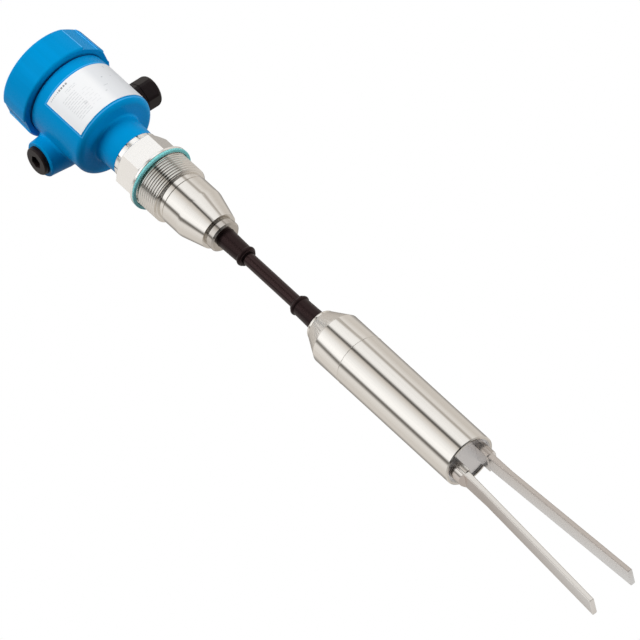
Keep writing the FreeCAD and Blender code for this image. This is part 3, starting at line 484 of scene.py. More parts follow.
# Tines: colours at root, tip and narrow sides, and roughness. The darker root and side colours are painted
# shade, set apart for each tine
LEFT_ROOT_SHADE = (0.65, 0.6, 0.57)
RIGHT_ROOT_SHADE = (0.8, 0.74, 0.69)
TIP_STEEL = (1.0, 1.0, 1.0)
LEFT_SIDE_SHADE = (0.69, 0.66, 0.62)
RIGHT_SIDE_SHADE = (0.49, 0.435, 0.39)
TINE_ROUGH = (0.18, 0.26)
TINE_BUMP = 0.002
LEFT_METAL = 1.0
RIGHT_METAL = 0.7
# Painted shade, browner towards the root: start at the tip's first side, growth towards the root, growth
# across the blade
LEFT_SHADE_SPREAD = (-0.3, 1.3, 0.4)
RIGHT_SHADE_SPREAD = (0.45, 0.5, -0.8)

# Process fitting, polished on the thread and satin above it
HEXAGON_FOOT = 0.0
HEXAGON_BLEND = 1 * MM
THREAD_ROUGH = (0.06, 0.1)
HEXAGON_ROUGH = (0.2, 0.27)
FITTING_BUMP = 0.01

# Tube cap, polished on the skirt and a little dull on the shoulder above it
SHOULDER_FOOT = -199.2 * MM
SHOULDER_BLEND = 0.3 * MM
SKIRT_ROUGH = (0.09, 0.13)
SHOULDER_ROUGH = (0.26, 0.34)
CAP_BUMP = 0.004


def new_material(name, colour, roughness, metallic=0.0):
    material = bpy.data.materials.new(name)
    material.use_nodes = True
    shader = material.node_tree.nodes["Principled BSDF"]
    shader.inputs["Base Color"].default_value = (*colour, 1.0)
    shader.inputs["Roughness"].default_value = roughness
    shader.inputs["Metallic"].default_value = metallic
    return material, material.node_tree, shader


def use_group(tree, group, **inputs):
    made = tree.nodes.new("ShaderNodeGroup")
    made.node_tree = group
    for name, value in inputs.items():
        made.inputs[name].default_value = value
    return made.outputs


def add_bump(tree, shader, height, strength, depth):
    bump = tree.nodes.new("ShaderNodeBump")
    bump.inputs["Strength"].default_value = strength
    bump.inputs["Distance"].default_value = depth
    tree.links.new(height, bump.inputs["Height"])
    tree.links.new(bump.outputs["Normal"], shader.inputs["Normal"])


def spread(tree, noise, low, high):
    """Stretch the middle of a noise between two limits."""
    return map_range(tree, noise, NOISE_LOW, NOISE_HIGH, low, high)


def steel(name, dark, light, scale, rough, bump):
    """Streaked metal."""
    material, tree, shader = new_material(name, light, rough[0], metallic=1.0)
    streak = use_group(tree, STREAKS, Scale=scale)["Streak"]
    colour = mix_colours(tree, spread(tree, streak, 0, 1), dark, light)
    tree.links.new(colour, shader.inputs["Base Color"])
    tree.links.new(spread(tree, streak, *rough), shader.inputs["Roughness"])
    add_bump(tree, shader, streak, bump, TURNED_DEPTH)
    return material


def banded_steel(name, colours, foot, blend, scale, lower_rough, upper_rough, bump, depth):
    """Metal with one finish below a height and another above it."""
    lower, upper = colours
    material, tree, shader = new_material(name, upper, upper_rough[0], metallic=1.0)
    above = use_group(tree, HEIGHT, Low=foot, High=foot + blend)["Share"]
    streak = use_group(tree, STREAKS, Scale=scale)["Streak"]
    rough = mix_values(tree, above, spread(tree, streak, *lower_rough), spread(tree, streak, *upper_rough))
    tree.links.new(mix_colours(tree, above, lower, upper), shader.inputs["Base Color"])
    tree.links.new(rough, shader.inputs["Roughness"])
    add_bump(tree, shader, streak, bump, depth)
    return material


def tine_steel(name, root, side, shade_spread, metallic):
    """Ground along the blade, with painted shade that makes it browner towards the root and on its narrow
    sides.
    """
    material, tree, shader = new_material(name, TIP_STEEL, TINE_ROUGH[0], metallic)
    # Both tines span the same heights and the same depth
    low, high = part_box("right_tine")
    height = use_group(tree, HEIGHT, Low=low.z, High=high.z)["Share"]
    streak = use_group(tree, STREAKS, Scale=DRAWN)["Streak"]
    y = split(tree, surface(tree))[1]
    across = calc(tree, "DIVIDE", calc(tree, "SUBTRACT", y, low.y), high.y - low.y)
    start, height_growth, across_growth = shade_spread
    root_shading = calc(tree, "MULTIPLY_ADD", height, height_growth, start)
    root_shading = clamped(tree, calc(tree, "MULTIPLY_ADD", across, across_growth, root_shading))
    face = mix_colours(tree, root_shading, TIP_STEEL, root)
    # Painted shade on the narrow sides, set by the object's own normal
    sideways = calc(tree, "ABSOLUTE", split(tree, surface(tree, "Normal"))[1])
    colour = mix_colours(tree, spread(tree, sideways, 0, 1), face, side)
    tree.links.new(colour, shader.inputs["Base Color"])
    tree.links.new(spread(tree, streak, *TINE_ROUGH), shader.inputs["Roughness"])
    add_bump(tree, shader, streak, TINE_BUMP, DRAWN_DEPTH)
    return material


def moulded(name, colour, roughness, gloss, tint, vary=CLOUD_VARY, streaks=None):
    """Plastic or rubber with a fine grain, its colour varied by broad clouds or by streaks."""
    material, tree, shader = new_material(name, colour, roughness)
    shader.inputs["Specular IOR Level"].default_value = gloss
    shader.inputs["Specular Tint"].default_value = (*tint, 1.0)
    grain = use_group(tree, GRAIN, Size=GRAIN_SIZE)["Grain"]
    if streaks:
        cloud = use_group(tree, STREAKS, Scale=streaks)["Streak"]
    else:
        cloud = use_group(tree, GRAIN, Size=CLOUD_SIZE)["Grain"]
    deep = tuple(part * (1 - vary) for part in colour)
    varied = mix_colours(tree, spread(tree, cloud, 0, 1), deep, colour)
    rough = spread(tree, grain, roughness - GRAIN_SPREAD, roughness + GRAIN_SPREAD)
    tree.links.new(varied, shader.inputs["Base Color"])
    tree.links.new(rough, shader.inputs["Roughness"])
    add_bump(tree, shader, grain, GRAIN_BUMP, GRAIN_DEPTH)
    return material


def label_paper(name):
    """White paper with plain print, and painted shade that makes its right side a little darker."""
    material, tree, shader = new_material(name, PAPER, PAPER_ROUGH)
    shader.inputs["Specular IOR Level"].default_value = PAPER_GLOSS
    marks = use_group(tree, PRINT)
    ground = mix_colours(tree, marks["RightShade"], PAPER, PAPER_RIGHT_SHADE)
    grain = use_group(tree, GRAIN, Size=PAPER_GRAIN)["Grain"]
    rough = spread(tree, grain, PAPER_ROUGH - PAPER_SPREAD, PAPER_ROUGH + PAPER_SPREAD)
    tree.links.new(mix_colours(tree, marks["Ink"], ground, PAPER_INK), shader.inputs["Base Color"])
    tree.links.new(rough, shader.inputs["Roughness"])
    add_bump(tree, shader, grain, PAPER_BUMP, PAPER_DEPTH)
    return material


def overlay(tree, mask, colour):
    """Lay a colour over a material's own colour where a mask is set."""
    base = tree.nodes["Principled BSDF"].inputs["Base Color"]
    before = base.links[0].from_socket
    tree.links.new(mix_colours(tree, mask, before, colour), base)


def add_label_highlight(material):
    """Paint a highlight as a thin lighter line round the label."""
    tree = material.node_tree
    overlay(tree, use_group(tree, LABEL_HIGHLIGHT)["Line"], LABEL_HIGHLIGHT_BLUE)


def add_painted_edge_highlights(material):
    """Painted highlight: lighten the rounded edges, where moulded plastic catches the light."""
    tree = material.node_tree
    mark = tree.nodes.new("ShaderNodeAttribute")
    mark.attribute_name = HIGHLIGHT_EDGE_MARK
    overlay(tree, mark.outputs["Fac"], EDGE_HIGHLIGHT_BLUE)


STEEL_LOOKS = [
    # name, darker colour, lighter colour, streaks, roughness, bump
    ("steel", POLISHED_DARK, POLISHED, TURNED, (0.06, 0.1), 0.008),
    ("tube_steel", POLISHED_DARK, POLISHED, DRAWN, (0.07, 0.1), 0.005),
    ("diaphragm_steel", (0.82, 0.83, 0.86), (0.93, 0.94, 0.97), FINE, (0.3, 0.4), 0.02),
    ("bright_steel", (0.76, 0.73, 0.68), (0.84, 0.81, 0.76), TURNED, (0.1, 0.16), 0.01),
    # Darker copy of the steel for the upper collar: painted shade
    ("collar_steel", (0.5, 0.47, 0.43), (0.62, 0.59, 0.55), TURNED, (0.12, 0.2), 0.01),
    ("brass", (0.6, 0.45, 0.2), (0.78, 0.6, 0.3), TURNED, (0.28, 0.4), 0.02),
]
MOULDED_LOOKS = [
    # name, colour, roughness, gloss, tint of the gloss
    ("gasket_teal", (0.22, 0.64, 0.62), 0.45, 0.4, NO_TINT),
    # Dark blue of the ring in the gap under the lid: painted shadow
    ("rim_blue", SHADOW_BLUE, 0.5, 0.1, NO_TINT),
    ("seal_rubber", (0.012, 0.011, 0.011), 0.55, 0.15, NO_TINT),
    ("sleeve_rubber", BLACK, 0.32, 0.22, BROWN_SHEEN),
    ("cable_black", BLACK, 0.24, 0.34, BROWN_SHEEN),
    ("housing_blue", BLUE, BLUE_ROUGH, BLUE_GLOSS, BLUE_SHEEN),
    ("black_plastic", BLACK, 0.36, 0.16, NO_TINT),
    ("module_grey", (0.16, 0.17, 0.18), 0.5, PLAIN_GLOSS, NO_TINT),
    ("terminal_green", (0.08, 0.3, 0.16), 0.45, PLAIN_GLOSS, NO_TINT),
    ("slider_white", (0.82, 0.82, 0.8), 0.45, PLAIN_GLOSS, NO_TINT),
    ("lamp_green", (0.1, 0.55, 0.15), 0.2, PLAIN_GLOSS, NO_TINT),
    ("lamp_red", (0.6, 0.05, 0.04), 0.2, PLAIN_GLOSS, NO_TINT),
    ("piezo_ceramic", (0.72, 0.64, 0.5), 0.6, PLAIN_GLOSS, NO_TINT),
]

LOOKS = {}
for row in STEEL_LOOKS:
    LOOKS[row[0]] = steel(*row)
for row in MOULDED_LOOKS:
    LOOKS[row[0]] = moulded(*row)
LOOKS["lid_blue"] = moulded(
    "lid_blue", BLUE, BLUE_ROUGH, BLUE_GLOSS, BLUE_SHEEN, vary=LID_VARY, streaks=LID_STREAKS)
LOOKS["label_white"] = label_paper("label_white")
LOOKS["fitting"] = banded_steel(
    "fitting", (POLISHED, SATIN), HEXAGON_FOOT, HEXAGON_BLEND, TURNED,
    THREAD_ROUGH, HEXAGON_ROUGH, FITTING_BUMP, TURNED_DEPTH)
LOOKS["tube_cap"] = banded_steel(
    "tube_cap", (POLISHED, SHOULDER_STEEL), SHOULDER_FOOT, SHOULDER_BLEND, DRAWN,
    SKIRT_ROUGH, SHOULDER_ROUGH, CAP_BUMP, DRAWN_DEPTH)
LOOKS["tine_steel"] = tine_steel("tine_steel", LEFT_ROOT_SHADE, LEFT_SIDE_SHADE, LEFT_SHADE_SPREAD, LEFT_METAL)
# The right tine gets its own copy of the tine steel, with other painted shade
LOOKS["right_tine_shaded_steel"] = tine_steel(
    "right_tine_shaded_steel", RIGHT_ROOT_SHADE, RIGHT_SIDE_SHADE, RIGHT_SHADE_SPREAD, RIGHT_METAL)
# Painted highlight round the label on the housing
add_label_highlight(LOOKS["housing_blue"])
# Painted highlight on the lid's rounded grip edges
add_painted_edge_highlights(LOOKS["lid_blue"])

SLOTS = {part["node"]: part["material_slot"] for part in frame["record"]["subparts"]}
for node, slot in SLOTS.items():
    paint(nodes[node], LOOKS[slot])

# Process fitting with its thread: the plain wall drops to the root and a ridge winds round it

THREAD_CREST_R = 23.9 * MM
THREAD_ROOT_R = 22.5 * MM
THREAD_PITCH = 2.309 * MM
THREAD_TOP = -0.6 * MM
THREAD_END = -19.9 * MM
# Share of the ridge's foot that is left at its crest
THREAD_CREST_SHARE = 0.36
# Share of the pitch that the ridge's foot takes, a little over one so that the turns close
THREAD_FOOT_SHARE = 1.02
# Wall: highest point that is moved, and how far it lies below the root
THREAD_WALL_TOP = 0.05 * MM
THREAD_WALL_DROP = 0.1 * MM
# How deep the ridge's foot is sunk, and how near the crest a point counts as on it
THREAD_SINK = 0.4 * MM
THREAD_CREST_REACH = 0.1 * MM
THREAD_STEPS = 120
THREAD_SPARE_TURNS = 3
FITTING_EDGE = 0.25 * MM


def make_thread_ridge():
    middle = THREAD_TOP + THREAD_PITCH
    depth = THREAD_CREST_R - THREAD_ROOT_R + THREAD_SINK
    deselect()
    bpy.ops.mesh.primitive_plane_add(size=1, location=ORIGIN)
    ridge = added("thread_ridge")
    edit(ridge)
    bpy.ops.transform.rotate(value=math.radians(90), orient_axis="X", center_override=ORIGIN)
    bpy.ops.transform.resize(value=(depth, 1, THREAD_PITCH * THREAD_FOOT_SHARE), center_override=ORIGIN)
    bpy.ops.transform.translate(value=(THREAD_CREST_R - depth / 2, 0, middle))
    leave()
    choose(ridge, lambda place: place.x > THREAD_CREST_R - THREAD_CREST_REACH)
    bpy.ops.transform.resize(value=(1, 1, THREAD_CREST_SHARE), center_override=(0, 0, middle))
    bpy.ops.mesh.select_all(action="SELECT")
    bpy.ops.mesh.delete(type="ONLY_FACE")
    leave()
    wind = ridge.modifiers.new("wind", "SCREW")
    wind.axis = "Z"
    wind.steps = THREAD_STEPS
    wind.render_steps = THREAD_STEPS
    wind.screw_offset = -THREAD_PITCH
    wind.iterations = math.ceil((THREAD_TOP - THREAD_END) / THREAD_PITCH) + THREAD_SPARE_TURNS
    wind.use_merge_vertices = True
    wind.use_normal_calculate = True
    apply_modifiers(ridge)
    for height, upper in ((THREAD_TOP, True), (THREAD_END, False)):
        edit(ridge)
        bpy.ops.mesh.bisect(
            plane_co=(0, 0, height), plane_no=(0, 0, 1), use_fill=True,
            clear_outer=upper, clear_inner=not upper)
        leave()
    smooth(ridge, ROUND_ANGLE)
    return ridge


def make_threaded_fitting():
    fitting = copy_of("process_fitting", "threaded_fitting")
    choose(fitting, lambda place: place.z < THREAD_WALL_TOP and radius(place) > THREAD_ROOT_R)
    shrink = (THREAD_ROOT_R - THREAD_WALL_DROP) / THREAD_CREST_R
    bpy.ops.transform.resize(value=(shrink, shrink, 1), center_override=ORIGIN)
    leave()
    ridge = make_thread_ridge()
    ease(fitting, FITTING_EDGE)
    join(fitting, ridge)
    finish_piece(fitting, "base", "steel", "process_fitting", look="fitting")


make_threaded_fitting()

# Pieces whose edges are rounded a little, as moulding, turning and grinding leave them

EASED = [
    # node, piece, edge width
    ("housing", "housing_moulding", 0.4 * MM),
    ("lid", "lid_moulding", 0.6 * MM),
    ("blind_plug", "blind_plug_moulding", 0.3 * MM),
    ("gland_body", "gland_moulding", 0.3 * MM),
    ("gland_nut", "gland_nut_moulding", 0.5 * MM),
    ("process_gasket", "gasket_ring", 0.5 * MM),
    ("cone_body", "turned_cone", 0.08 * MM),
    ("upper_collar", "turned_upper_collar", 0.4 * MM),
    ("lower_collar", "turned_lower_collar", 0.4 * MM),
    ("upper_sleeve", "upper_bend_relief", 0.4 * MM),
    ("lower_sleeve", "lower_bend_relief", 0.4 * MM),
    ("right_tine", "right_blade", 0.3 * MM),
    ("left_tine", "left_blade", 0.3 * MM),
]
# Shaded copies of the steel for the upper collar and the right tine: painted shade
EASED_LOOKS = {"lid": "lid_blue", "upper_collar": "collar_steel", "right_tine": "right_tine_shaded_steel"}

# Shoulder of the bowl, under the lid
LID_GAP = 0.6 * MM
SHOULDER_REACH = 0.05 * MM
SHOULDER_INNER_R = 33.5 * MM
SHOULDER_DROP = 1.0 * MM

# Long edges of the blades, and upright edges of the lid's grip flats
BLADES = ("left_tine", "right_tine")
ARRIS_LENGTH = 30 * MM
ARRIS_WIDTH = 0.8 * MM
ARRIS_SEGMENTS = 3
GRIP_ANGLE = math.radians(10)
GRIP_LENGTH = 6 * MM
GRIP_WIDTH = 0.8 * MM
GRIP_SEGMENTS = 2


def lower_shoulder(housing):
    """Set the bowl's shoulder lower, so that a shadow gap shows under the lid."""
    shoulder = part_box("lid")[0].z - LID_GAP

    def on_shoulder(place):
        return abs(place.z - shoulder) < SHOULDER_REACH and radius(place) > SHOULDER_INNER_R

    choose(housing, on_shoulder)
    bpy.ops.transform.translate(value=(0, 0, -SHOULDER_DROP))
    leave()


def round_arrises(blade):
    """Round the long edges of a blade, as grinding leaves them."""
    choose_edges(blade, lambda line, start, end: (end - start).length > ARRIS_LENGTH)
    bpy.ops.mesh.bevel(offset=ARRIS_WIDTH, segments=ARRIS_SEGMENTS, affect="EDGES", clamp_overlap=False)
    leave()


def round_grips(lid):
    """Round the upright edges of the lid's grip flats, and mark the faces that this adds for the painted
    highlight.
    """
    sides = {}
    for face in lid.data.polygons:
        for key in face.edge_keys:
            sides.setdefault(key, []).append(face.normal.copy())

    def upright_bend(line, start, end):
        normals = sides.get(line.key, [])
        bent = len(normals) == 2 and normals[0].angle(normals[1]) > GRIP_ANGLE
        return bent and abs(end.z - start.z) > GRIP_LENGTH

    paint(lid, None)
    lid.data.materials.append(None)
    choose_edges(lid, upright_bend)
    bpy.ops.mesh.bevel(
        offset=GRIP_WIDTH, segments=GRIP_SEGMENTS, affect="EDGES", clamp_overlap=False, material=1)
    leave()
    marks = lid.data.attributes.new(HIGHLIGHT_EDGE_MARK, "FLOAT", "FACE")
    for face, mark in zip(lid.data.polygons, marks.data):
        mark.value = float(face.material_index)
        face.material_index = 0


def make_eased_pieces():
    for node, name, width in EASED:
        made = copy_of(node, name)
        if node == "housing":
            lower_shoulder(made)
        if node in BLADES:
            round_arrises(made)
        if node == "lid":
            round_grips(made)
        ease(made, width)
        finish_piece(made, nodes[node]["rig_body"], SLOTS[node], node, look=EASED_LOOKS.get(node))


make_eased_pieces()

# Dark ring at the foot of the rim, squeezed a little, that closes the gap under the lid. Its dark blue is
# painted shadow: a dark thing set where the gap under the lid lies in shade

RIM_RING_R = 33.9 * MM
RIM_RING_THICK = 1.3 * MM
RIM_RING_GAP = 0.12 * MM
RIM_RING_SQUEEZE = 0.998
RIM_RING_STEPS = 144
RIM_RING_SIDES = 12


def make_rim_shadow_ring():
    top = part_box("lid")[0].z - RIM_RING_GAP
    deselect()
    bpy.ops.mesh.primitive_torus_add(
        major_radius=RIM_RING_R, minor_radius=RIM_RING_THICK / 2,
        major_segments=RIM_RING_STEPS, minor_segments=RIM_RING_SIDES,
        location=(0, 0, top - RIM_RING_THICK / 2))
    ring = added("rim_shadow_ring")
    choose(ring, lambda place: radius(place) > RIM_RING_R + RIM_RING_THICK / 4)
    bpy.ops.transform.resize(value=(RIM_RING_SQUEEZE, RIM_RING_SQUEEZE, 1), center_override=ORIGIN)
    leave()
    smooth(ring, RING_ANGLE)
    finish_piece(ring, "base", "seal_rubber", look="rim_blue")


make_rim_shadow_ring()

# Tube cap, and the low uneven weld bead between it and the tube

CAP_EDGE = 0.3 * MM
TUBE_R = 21.5 * MM
WELD_Z = -226.6 * MM
WELD_SINK = 0.1 * MM
WELD_R = 0.3 * MM
WELD_STEPS = 180
WELD_SIDES = 8
# Unevenness: how far a point may move, the even part of it, the part along the surface's normal, seed
WELD_UNEVEN = 0.05 * MM
WELD_EVEN_SHARE = 0.2
WELD_NORMAL_SHARE = 0.8
WELD_SEED = 5


def make_cap():
    cap = copy_of("tube_cap", "turned_tube_cap")
    ease(cap, CAP_EDGE)
    finish_piece(cap, "base", "steel", "tube_cap", look="tube_cap")


def make_weld():
    deselect()
    bpy.ops.mesh.primitive_torus_add(
        major_radius=TUBE_R - WELD_SINK, minor_radius=WELD_R,
        major_segments=WELD_STEPS, minor_segments=WELD_SIDES, location=(0, 0, WELD_Z))
    weld = added("weld_bead")
    edit(weld)
    bpy.ops.transform.vertex_random(
        offset=WELD_UNEVEN, uniform=WELD_EVEN_SHARE, normal=WELD_NORMAL_SHARE, seed=WELD_SEED)
    leave()
    smooth(weld, RING_ANGLE)
    finish_piece(weld, "base", "bright_steel")


make_cap()
make_weld()

# Suspension cable: one taut run from the plug under the module to the lower clamp

CABLE_R = 5.15 * MM
CABLE_SIDES = 8
CABLE_ORDER = 3


def make_cable():
    low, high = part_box("suspension_cable")
    upper_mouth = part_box("upper_sleeve")[0].z
    lower_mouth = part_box("lower_sleeve")[1].z
    line = bpy.data.curves.new("cable_line", "CURVE")
    line.dimensions = "3D"
    line.bevel_depth = CABLE_R
    line.bevel_resolution = CABLE_SIDES
    line.use_fill_caps = True
    spline = line.splines.new("NURBS")
    heights = (high.z, upper_mouth, lower_mouth, low.z)
    spline.points.add(len(heights) - 1)
    for point, z in zip(spline.points, heights):
        point.co = (0, 0, z, 1)
    spline.order_u = CABLE_ORDER
    spline.use_endpoint_u = True
    cable = bpy.data.objects.new("cable", line)
    scene.collection.objects.link(cable)
    finish_piece(cable, "base", "cable_black", "suspension_cable")


make_cable()

# Camera: long lens from below and to the left of the label, rolled so that the fork points lower right

CAMERA_AZIMUTH = math.radians(-28)
CAMERA_ELEVATION = math.radians(-31)
CAMERA_DISTANCE = 21.5
CAMERA_SENSOR = 36
CAMERA_CLIP_START = 0.1
CAMERA_CLIP_END = 200
VIEW_WIDTH = 462.0 * MM
VIEW_CENTRE = Vector((0, 0, -178.5 * MM))
VIEW_SIDE_SHIFT = 2.2 * MM
# Direction of the hanging axis in the picture
AXIS_RIGHT = 0.7373
AXIS_DOWN = 0.6756


def make_camera():
    back = Vector((
        math.sin(CAMERA_AZIMUTH) * math.cos(CAMERA_ELEVATION),
        -math.cos(CAMERA_AZIMUTH) * math.cos(CAMERA_ELEVATION),
        math.sin(CAMERA_ELEVATION),
    ))
    down = Vector((0, 0, -1))
    along = (down - down.dot(back) * back).normalized()
    across = back.cross(along)
    right = AXIS_RIGHT * along + AXIS_DOWN * across
    up = back.cross(right)
    data = bpy.data.cameras.new("camera")
    data.sensor_width = CAMERA_SENSOR
    data.lens = CAMERA_SENSOR * CAMERA_DISTANCE / VIEW_WIDTH
    data.clip_start = CAMERA_CLIP_START
    data.clip_end = CAMERA_CLIP_END
    camera = bpy.data.objects.new("camera", data)
    scene.collection.objects.link(camera)
    turn = Matrix((right, up, back)).transposed()
    aim = VIEW_CENTRE + VIEW_SIDE_SHIFT * across
    camera.matrix_world = Matrix.Translation(aim + CAMERA_DISTANCE * back) @ turn.to_4x4()
    scene.camera = camera
    return right, up, back


VIEW_RIGHT, VIEW_UP, VIEW_BACK = make_camera()

# Light: white surroundings that light the object weakly, and four soft lamps

WORLD_LIGHT = 0.25
WORLD_SHADE = (0.68, 0.83, 1.0)
WORLD_WHITE = (1.0, 1.0, 1.0)

LAMP_SIZE = 1.2
LAMPS = [
    # name, metres from the view's centre to the right, up and towards the camera, watts
    ("left_lamp", -1.6, 1.1, 0.8, 32),
    ("top_lamp", 1.1, 1.6, 0.7, 14.5),
    ("right_lamp", 1.9, 0.3, 0.5, 16),
    ("back_lamp", -1.0, 0.5, -1.6, 16),
]


def make_world():
    world = bpy.data.worlds.new("world")
    world.use_nodes = True
    scene.world = world
    tree = world.node_tree
    tree.nodes.clear()
    path = tree.nodes.new("ShaderNodeLightPath")
    seen = calc(tree, "MAXIMUM", path.outputs["Is Camera Ray"], path.outputs["Is Glossy Ray"])
    seen = calc(tree, "MAXIMUM", seen, path.outputs["Is Transmission Ray"])
    background = tree.nodes.new("ShaderNodeBackground")
    output = tree.nodes.new("ShaderNodeOutputWorld")
    link = tree.links.new
    link(mix_colours(tree, seen, WORLD_SHADE, WORLD_WHITE), background.inputs["Color"])
    link(map_range(tree, seen, 0.0, 1.0, WORLD_LIGHT, 1.0), background.inputs["Strength"])
    link(background.outputs[0], output.inputs["Surface"])


def add_lamp(name, right, up, back, watts):
    """Soft area lamp that points at the view's centre."""
    data = bpy.data.lights.new(name, "AREA")
    data.shape = "DISK"
    data.size = LAMP_SIZE
    data.energy = watts
    lamp = bpy.data.objects.new(name, data)
    scene.collection.objects.link(lamp)
    offset = right * VIEW_RIGHT + up * VIEW_UP + back * VIEW_BACK
    lamp.location = VIEW_CENTRE + offset
    lamp.rotation_mode = "QUATERNION"
    lamp.rotation_quaternion = (-offset).to_track_quat("-Z", "Y")
    lamp.visible_glossy = False


# Studio round the object that polished steel mirrors: pale panels with dark gaps between them

STUDIO_R = 6.0
STUDIO_SEGMENTS = 72
STUDIO_RINGS = 36
STUDIO_FRONT = math.radians(118)
STUDIO_WALLS = [
    # turn from the front in degrees, brightness
    (-180, 0.68),
    (-110, 0.77),
    (-84, 0.89),
    (-77, 0.86),
    (-67, 0.2),
    (-61, 0.2),
    (-53, 1.15),
    (-38, 1.24),
    (-16, 1.04),
    (0, 0.81),
    (7, 0.68),
    (12, 0.14),
    (17, 0.14),
    (25, 1.02),
    (33, 1.09),
    (59, 1.0),
    (67, 0.5),
    (71, 0.5),
    (79, 0.88),
    (104, 0.7),
    (150, 0.73),
    (180, 0.68),
]
STUDIO_HEIGHTS = [
    # height above the horizon in degrees, share of the walls' brightness
    (-90, 0.1),
    (-66, 0.2),
    (-46, 0.85),
    (-31, 0.92),
    (0, 1.0),
    (50, 1.0),
    (90, 1.15),
]
# Darker stretches of wall are warmer
WARMTH_START = 1.05
WARMTH_LIMIT = 0.4
WARMTH_GREEN = 0.16
WARMTH_BLUE = 0.34
# A dark flag behind the object draws the outlines of shiny pieces
FLAG_START = math.cos(math.radians(42))
FLAG_FULL = math.cos(math.radians(24))
FLAG_DARK = 0.5
# The mirrored ground in front of the object is dark
GROUND_START = 0.1
GROUND_RISE = 2.6
GROUND_FRONT = 0.35
GROUND_DARK = 0.85


def wall_colour(level):
    warmth = min(WARMTH_LIMIT, max(0.0, WARMTH_START - level))
    return level, level * (1 - WARMTH_GREEN * warmth), level * (1 - WARMTH_BLUE * warmth), 1.0


def make_ramp(tree, angle, whole, stops):
    """Colours by an angle, with stops given in degrees within a whole range that is centred on zero."""
    share = calc(tree, "ADD", calc(tree, "DIVIDE", angle, math.radians(whole)), 0.5)
    ramp = tree.nodes.new("ShaderNodeValToRGB")
    elements = ramp.color_ramp.elements
    elements.remove(elements[1])
    for number, (degrees, colour) in enumerate(stops):
        where = degrees / whole + 0.5
        stop = elements[0] if number == 0 else elements.new(where)
        stop.position = where
        stop.color = colour
    tree.links.new(share, ramp.inputs["Fac"])
    return ramp.outputs["Color"]


def dimming(tree, mask, dark):
    """What is left of the light where a mask takes a share of it."""
    return calc(tree, "SUBTRACT", 1.0, calc(tree, "MULTIPLY", mask, dark))


def bare_material(name):
    material = bpy.data.materials.new(name)
    material.use_nodes = True
    material.node_tree.nodes.clear()
    return material, material.node_tree


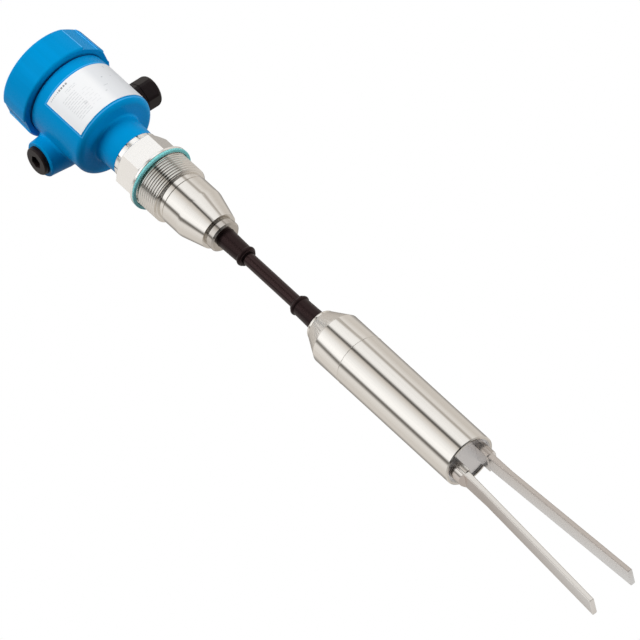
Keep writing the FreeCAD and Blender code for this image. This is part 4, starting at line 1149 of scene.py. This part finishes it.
def make_studio():
    """The dome is seen only as a reflection."""
    deselect()
    bpy.ops.mesh.primitive_uv_sphere_add(
        segments=STUDIO_SEGMENTS, ring_count=STUDIO_RINGS, radius=STUDIO_R, location=VIEW_CENTRE)
    dome = added("studio")
    material, tree = bare_material("studio")
    link = tree.links.new
    place = surface(tree)
    turn = tree.nodes.new("ShaderNodeMapping")
    turn.inputs["Rotation"].default_value = (0, 0, STUDIO_FRONT)
    link(place, turn.inputs["Vector"])
    x, y, z = split(tree, turn.outputs["Vector"])
    walls = make_ramp(
        tree, calc(tree, "ARCTAN2", y, x), FULL_TURN,
        [(degrees, wall_colour(level)) for degrees, level in STUDIO_WALLS])
    heights = make_ramp(
        tree, calc(tree, "ARCSINE", calc(tree, "DIVIDE", z, STUDIO_R)), HALF_TURN,
        [(degrees, (level, level, level, 1.0)) for degrees, level in STUDIO_HEIGHTS])

    down = calc(tree, "DIVIDE", z, -STUDIO_R)
    below = calc(tree, "MULTIPLY", calc(tree, "SUBTRACT", down, GROUND_START), GROUND_RISE)
    front = calc(tree, "ADD", calc(tree, "DIVIDE", x, STUDIO_R), GROUND_FRONT)
    ground = calc(tree, "MULTIPLY", clamped(tree, below), clamped(tree, front))

    towards = tree.nodes.new("ShaderNodeVectorMath")
    towards.operation = "DOT_PRODUCT"
    towards.inputs[1].default_value = -VIEW_BACK / STUDIO_R
    link(place, towards.inputs[0])
    behind = calc(tree, "SUBTRACT", towards.outputs["Value"], FLAG_START)
    flag = clamped(tree, calc(tree, "DIVIDE", behind, FLAG_FULL - FLAG_START))

    lit = calc(tree, "MULTIPLY", dimming(tree, ground, GROUND_DARK), dimming(tree, flag, FLAG_DARK))
    both = tree.nodes.new("ShaderNodeVectorMath")
    both.operation = "MULTIPLY"
    link(walls, both.inputs[0])
    link(heights, both.inputs[1])
    dimmed = tree.nodes.new("ShaderNodeVectorMath")
    dimmed.operation = "SCALE"
    link(both.outputs["Vector"], dimmed.inputs[0])
    link(lit, dimmed.inputs["Scale"])
    glow = tree.nodes.new("ShaderNodeEmission")
    output = tree.nodes.new("ShaderNodeOutputMaterial")
    link(dimmed.outputs["Vector"], glow.inputs["Color"])
    link(glow.outputs[0], output.inputs["Surface"])
    paint(dome, material)
    dome.visible_camera = False
    dome.visible_diffuse = False
    dome.visible_transmission = False
    dome.visible_shadow = False


# Pale floor under the hanging switch. It shows from above only, because the camera looks up from below

FLOOR_SIZE = 80.0
FLOOR_DROP = 60 * MM
# Share of lit ground near the object, and the distances over which it fades to plain white
FLOOR_SHADE = 0.4
FLOOR_NEAR = 0.2
FLOOR_FAR = 1.3


def mix_shaders(tree, factor, first, second):
    mix = tree.nodes.new("ShaderNodeMixShader")
    tree.links.new(factor, mix.inputs["Fac"])
    tree.links.new(first.outputs[0], mix.inputs[1])
    tree.links.new(second.outputs[0], mix.inputs[2])
    return mix


def make_floor():
    deselect()
    bpy.ops.mesh.primitive_plane_add(size=FLOOR_SIZE, location=(0, 0, cad_low[2] - FLOOR_DROP))
    floor = added("floor")
    material, tree = bare_material("floor")
    reach = tree.nodes.new("ShaderNodeVectorMath")
    reach.operation = "LENGTH"
    tree.links.new(surface(tree), reach.inputs[0])
    fade = map_range(
        tree, reach.outputs["Value"], FLOOR_NEAR, FLOOR_FAR, FLOOR_SHADE, 0.0, "SMOOTHSTEP")
    white = tree.nodes.new("ShaderNodeEmission")
    matt = tree.nodes.new("ShaderNodeBsdfDiffuse")
    clear = tree.nodes.new("ShaderNodeBsdfTransparent")
    side = tree.nodes.new("ShaderNodeNewGeometry")
    ground = mix_shaders(tree, fade, white, matt)
    shown = mix_shaders(tree, side.outputs["Backfacing"], ground, clear)
    output = tree.nodes.new("ShaderNodeOutputMaterial")
    tree.links.new(shown.outputs[0], output.inputs["Surface"])
    paint(floor, material)
    floor.visible_diffuse = False
    floor.visible_glossy = False
    floor.visible_transmission = False
    floor.visible_shadow = False


make_world()
make_studio()
make_floor()
for lamp_row in LAMPS:
    add_lamp(*lamp_row)
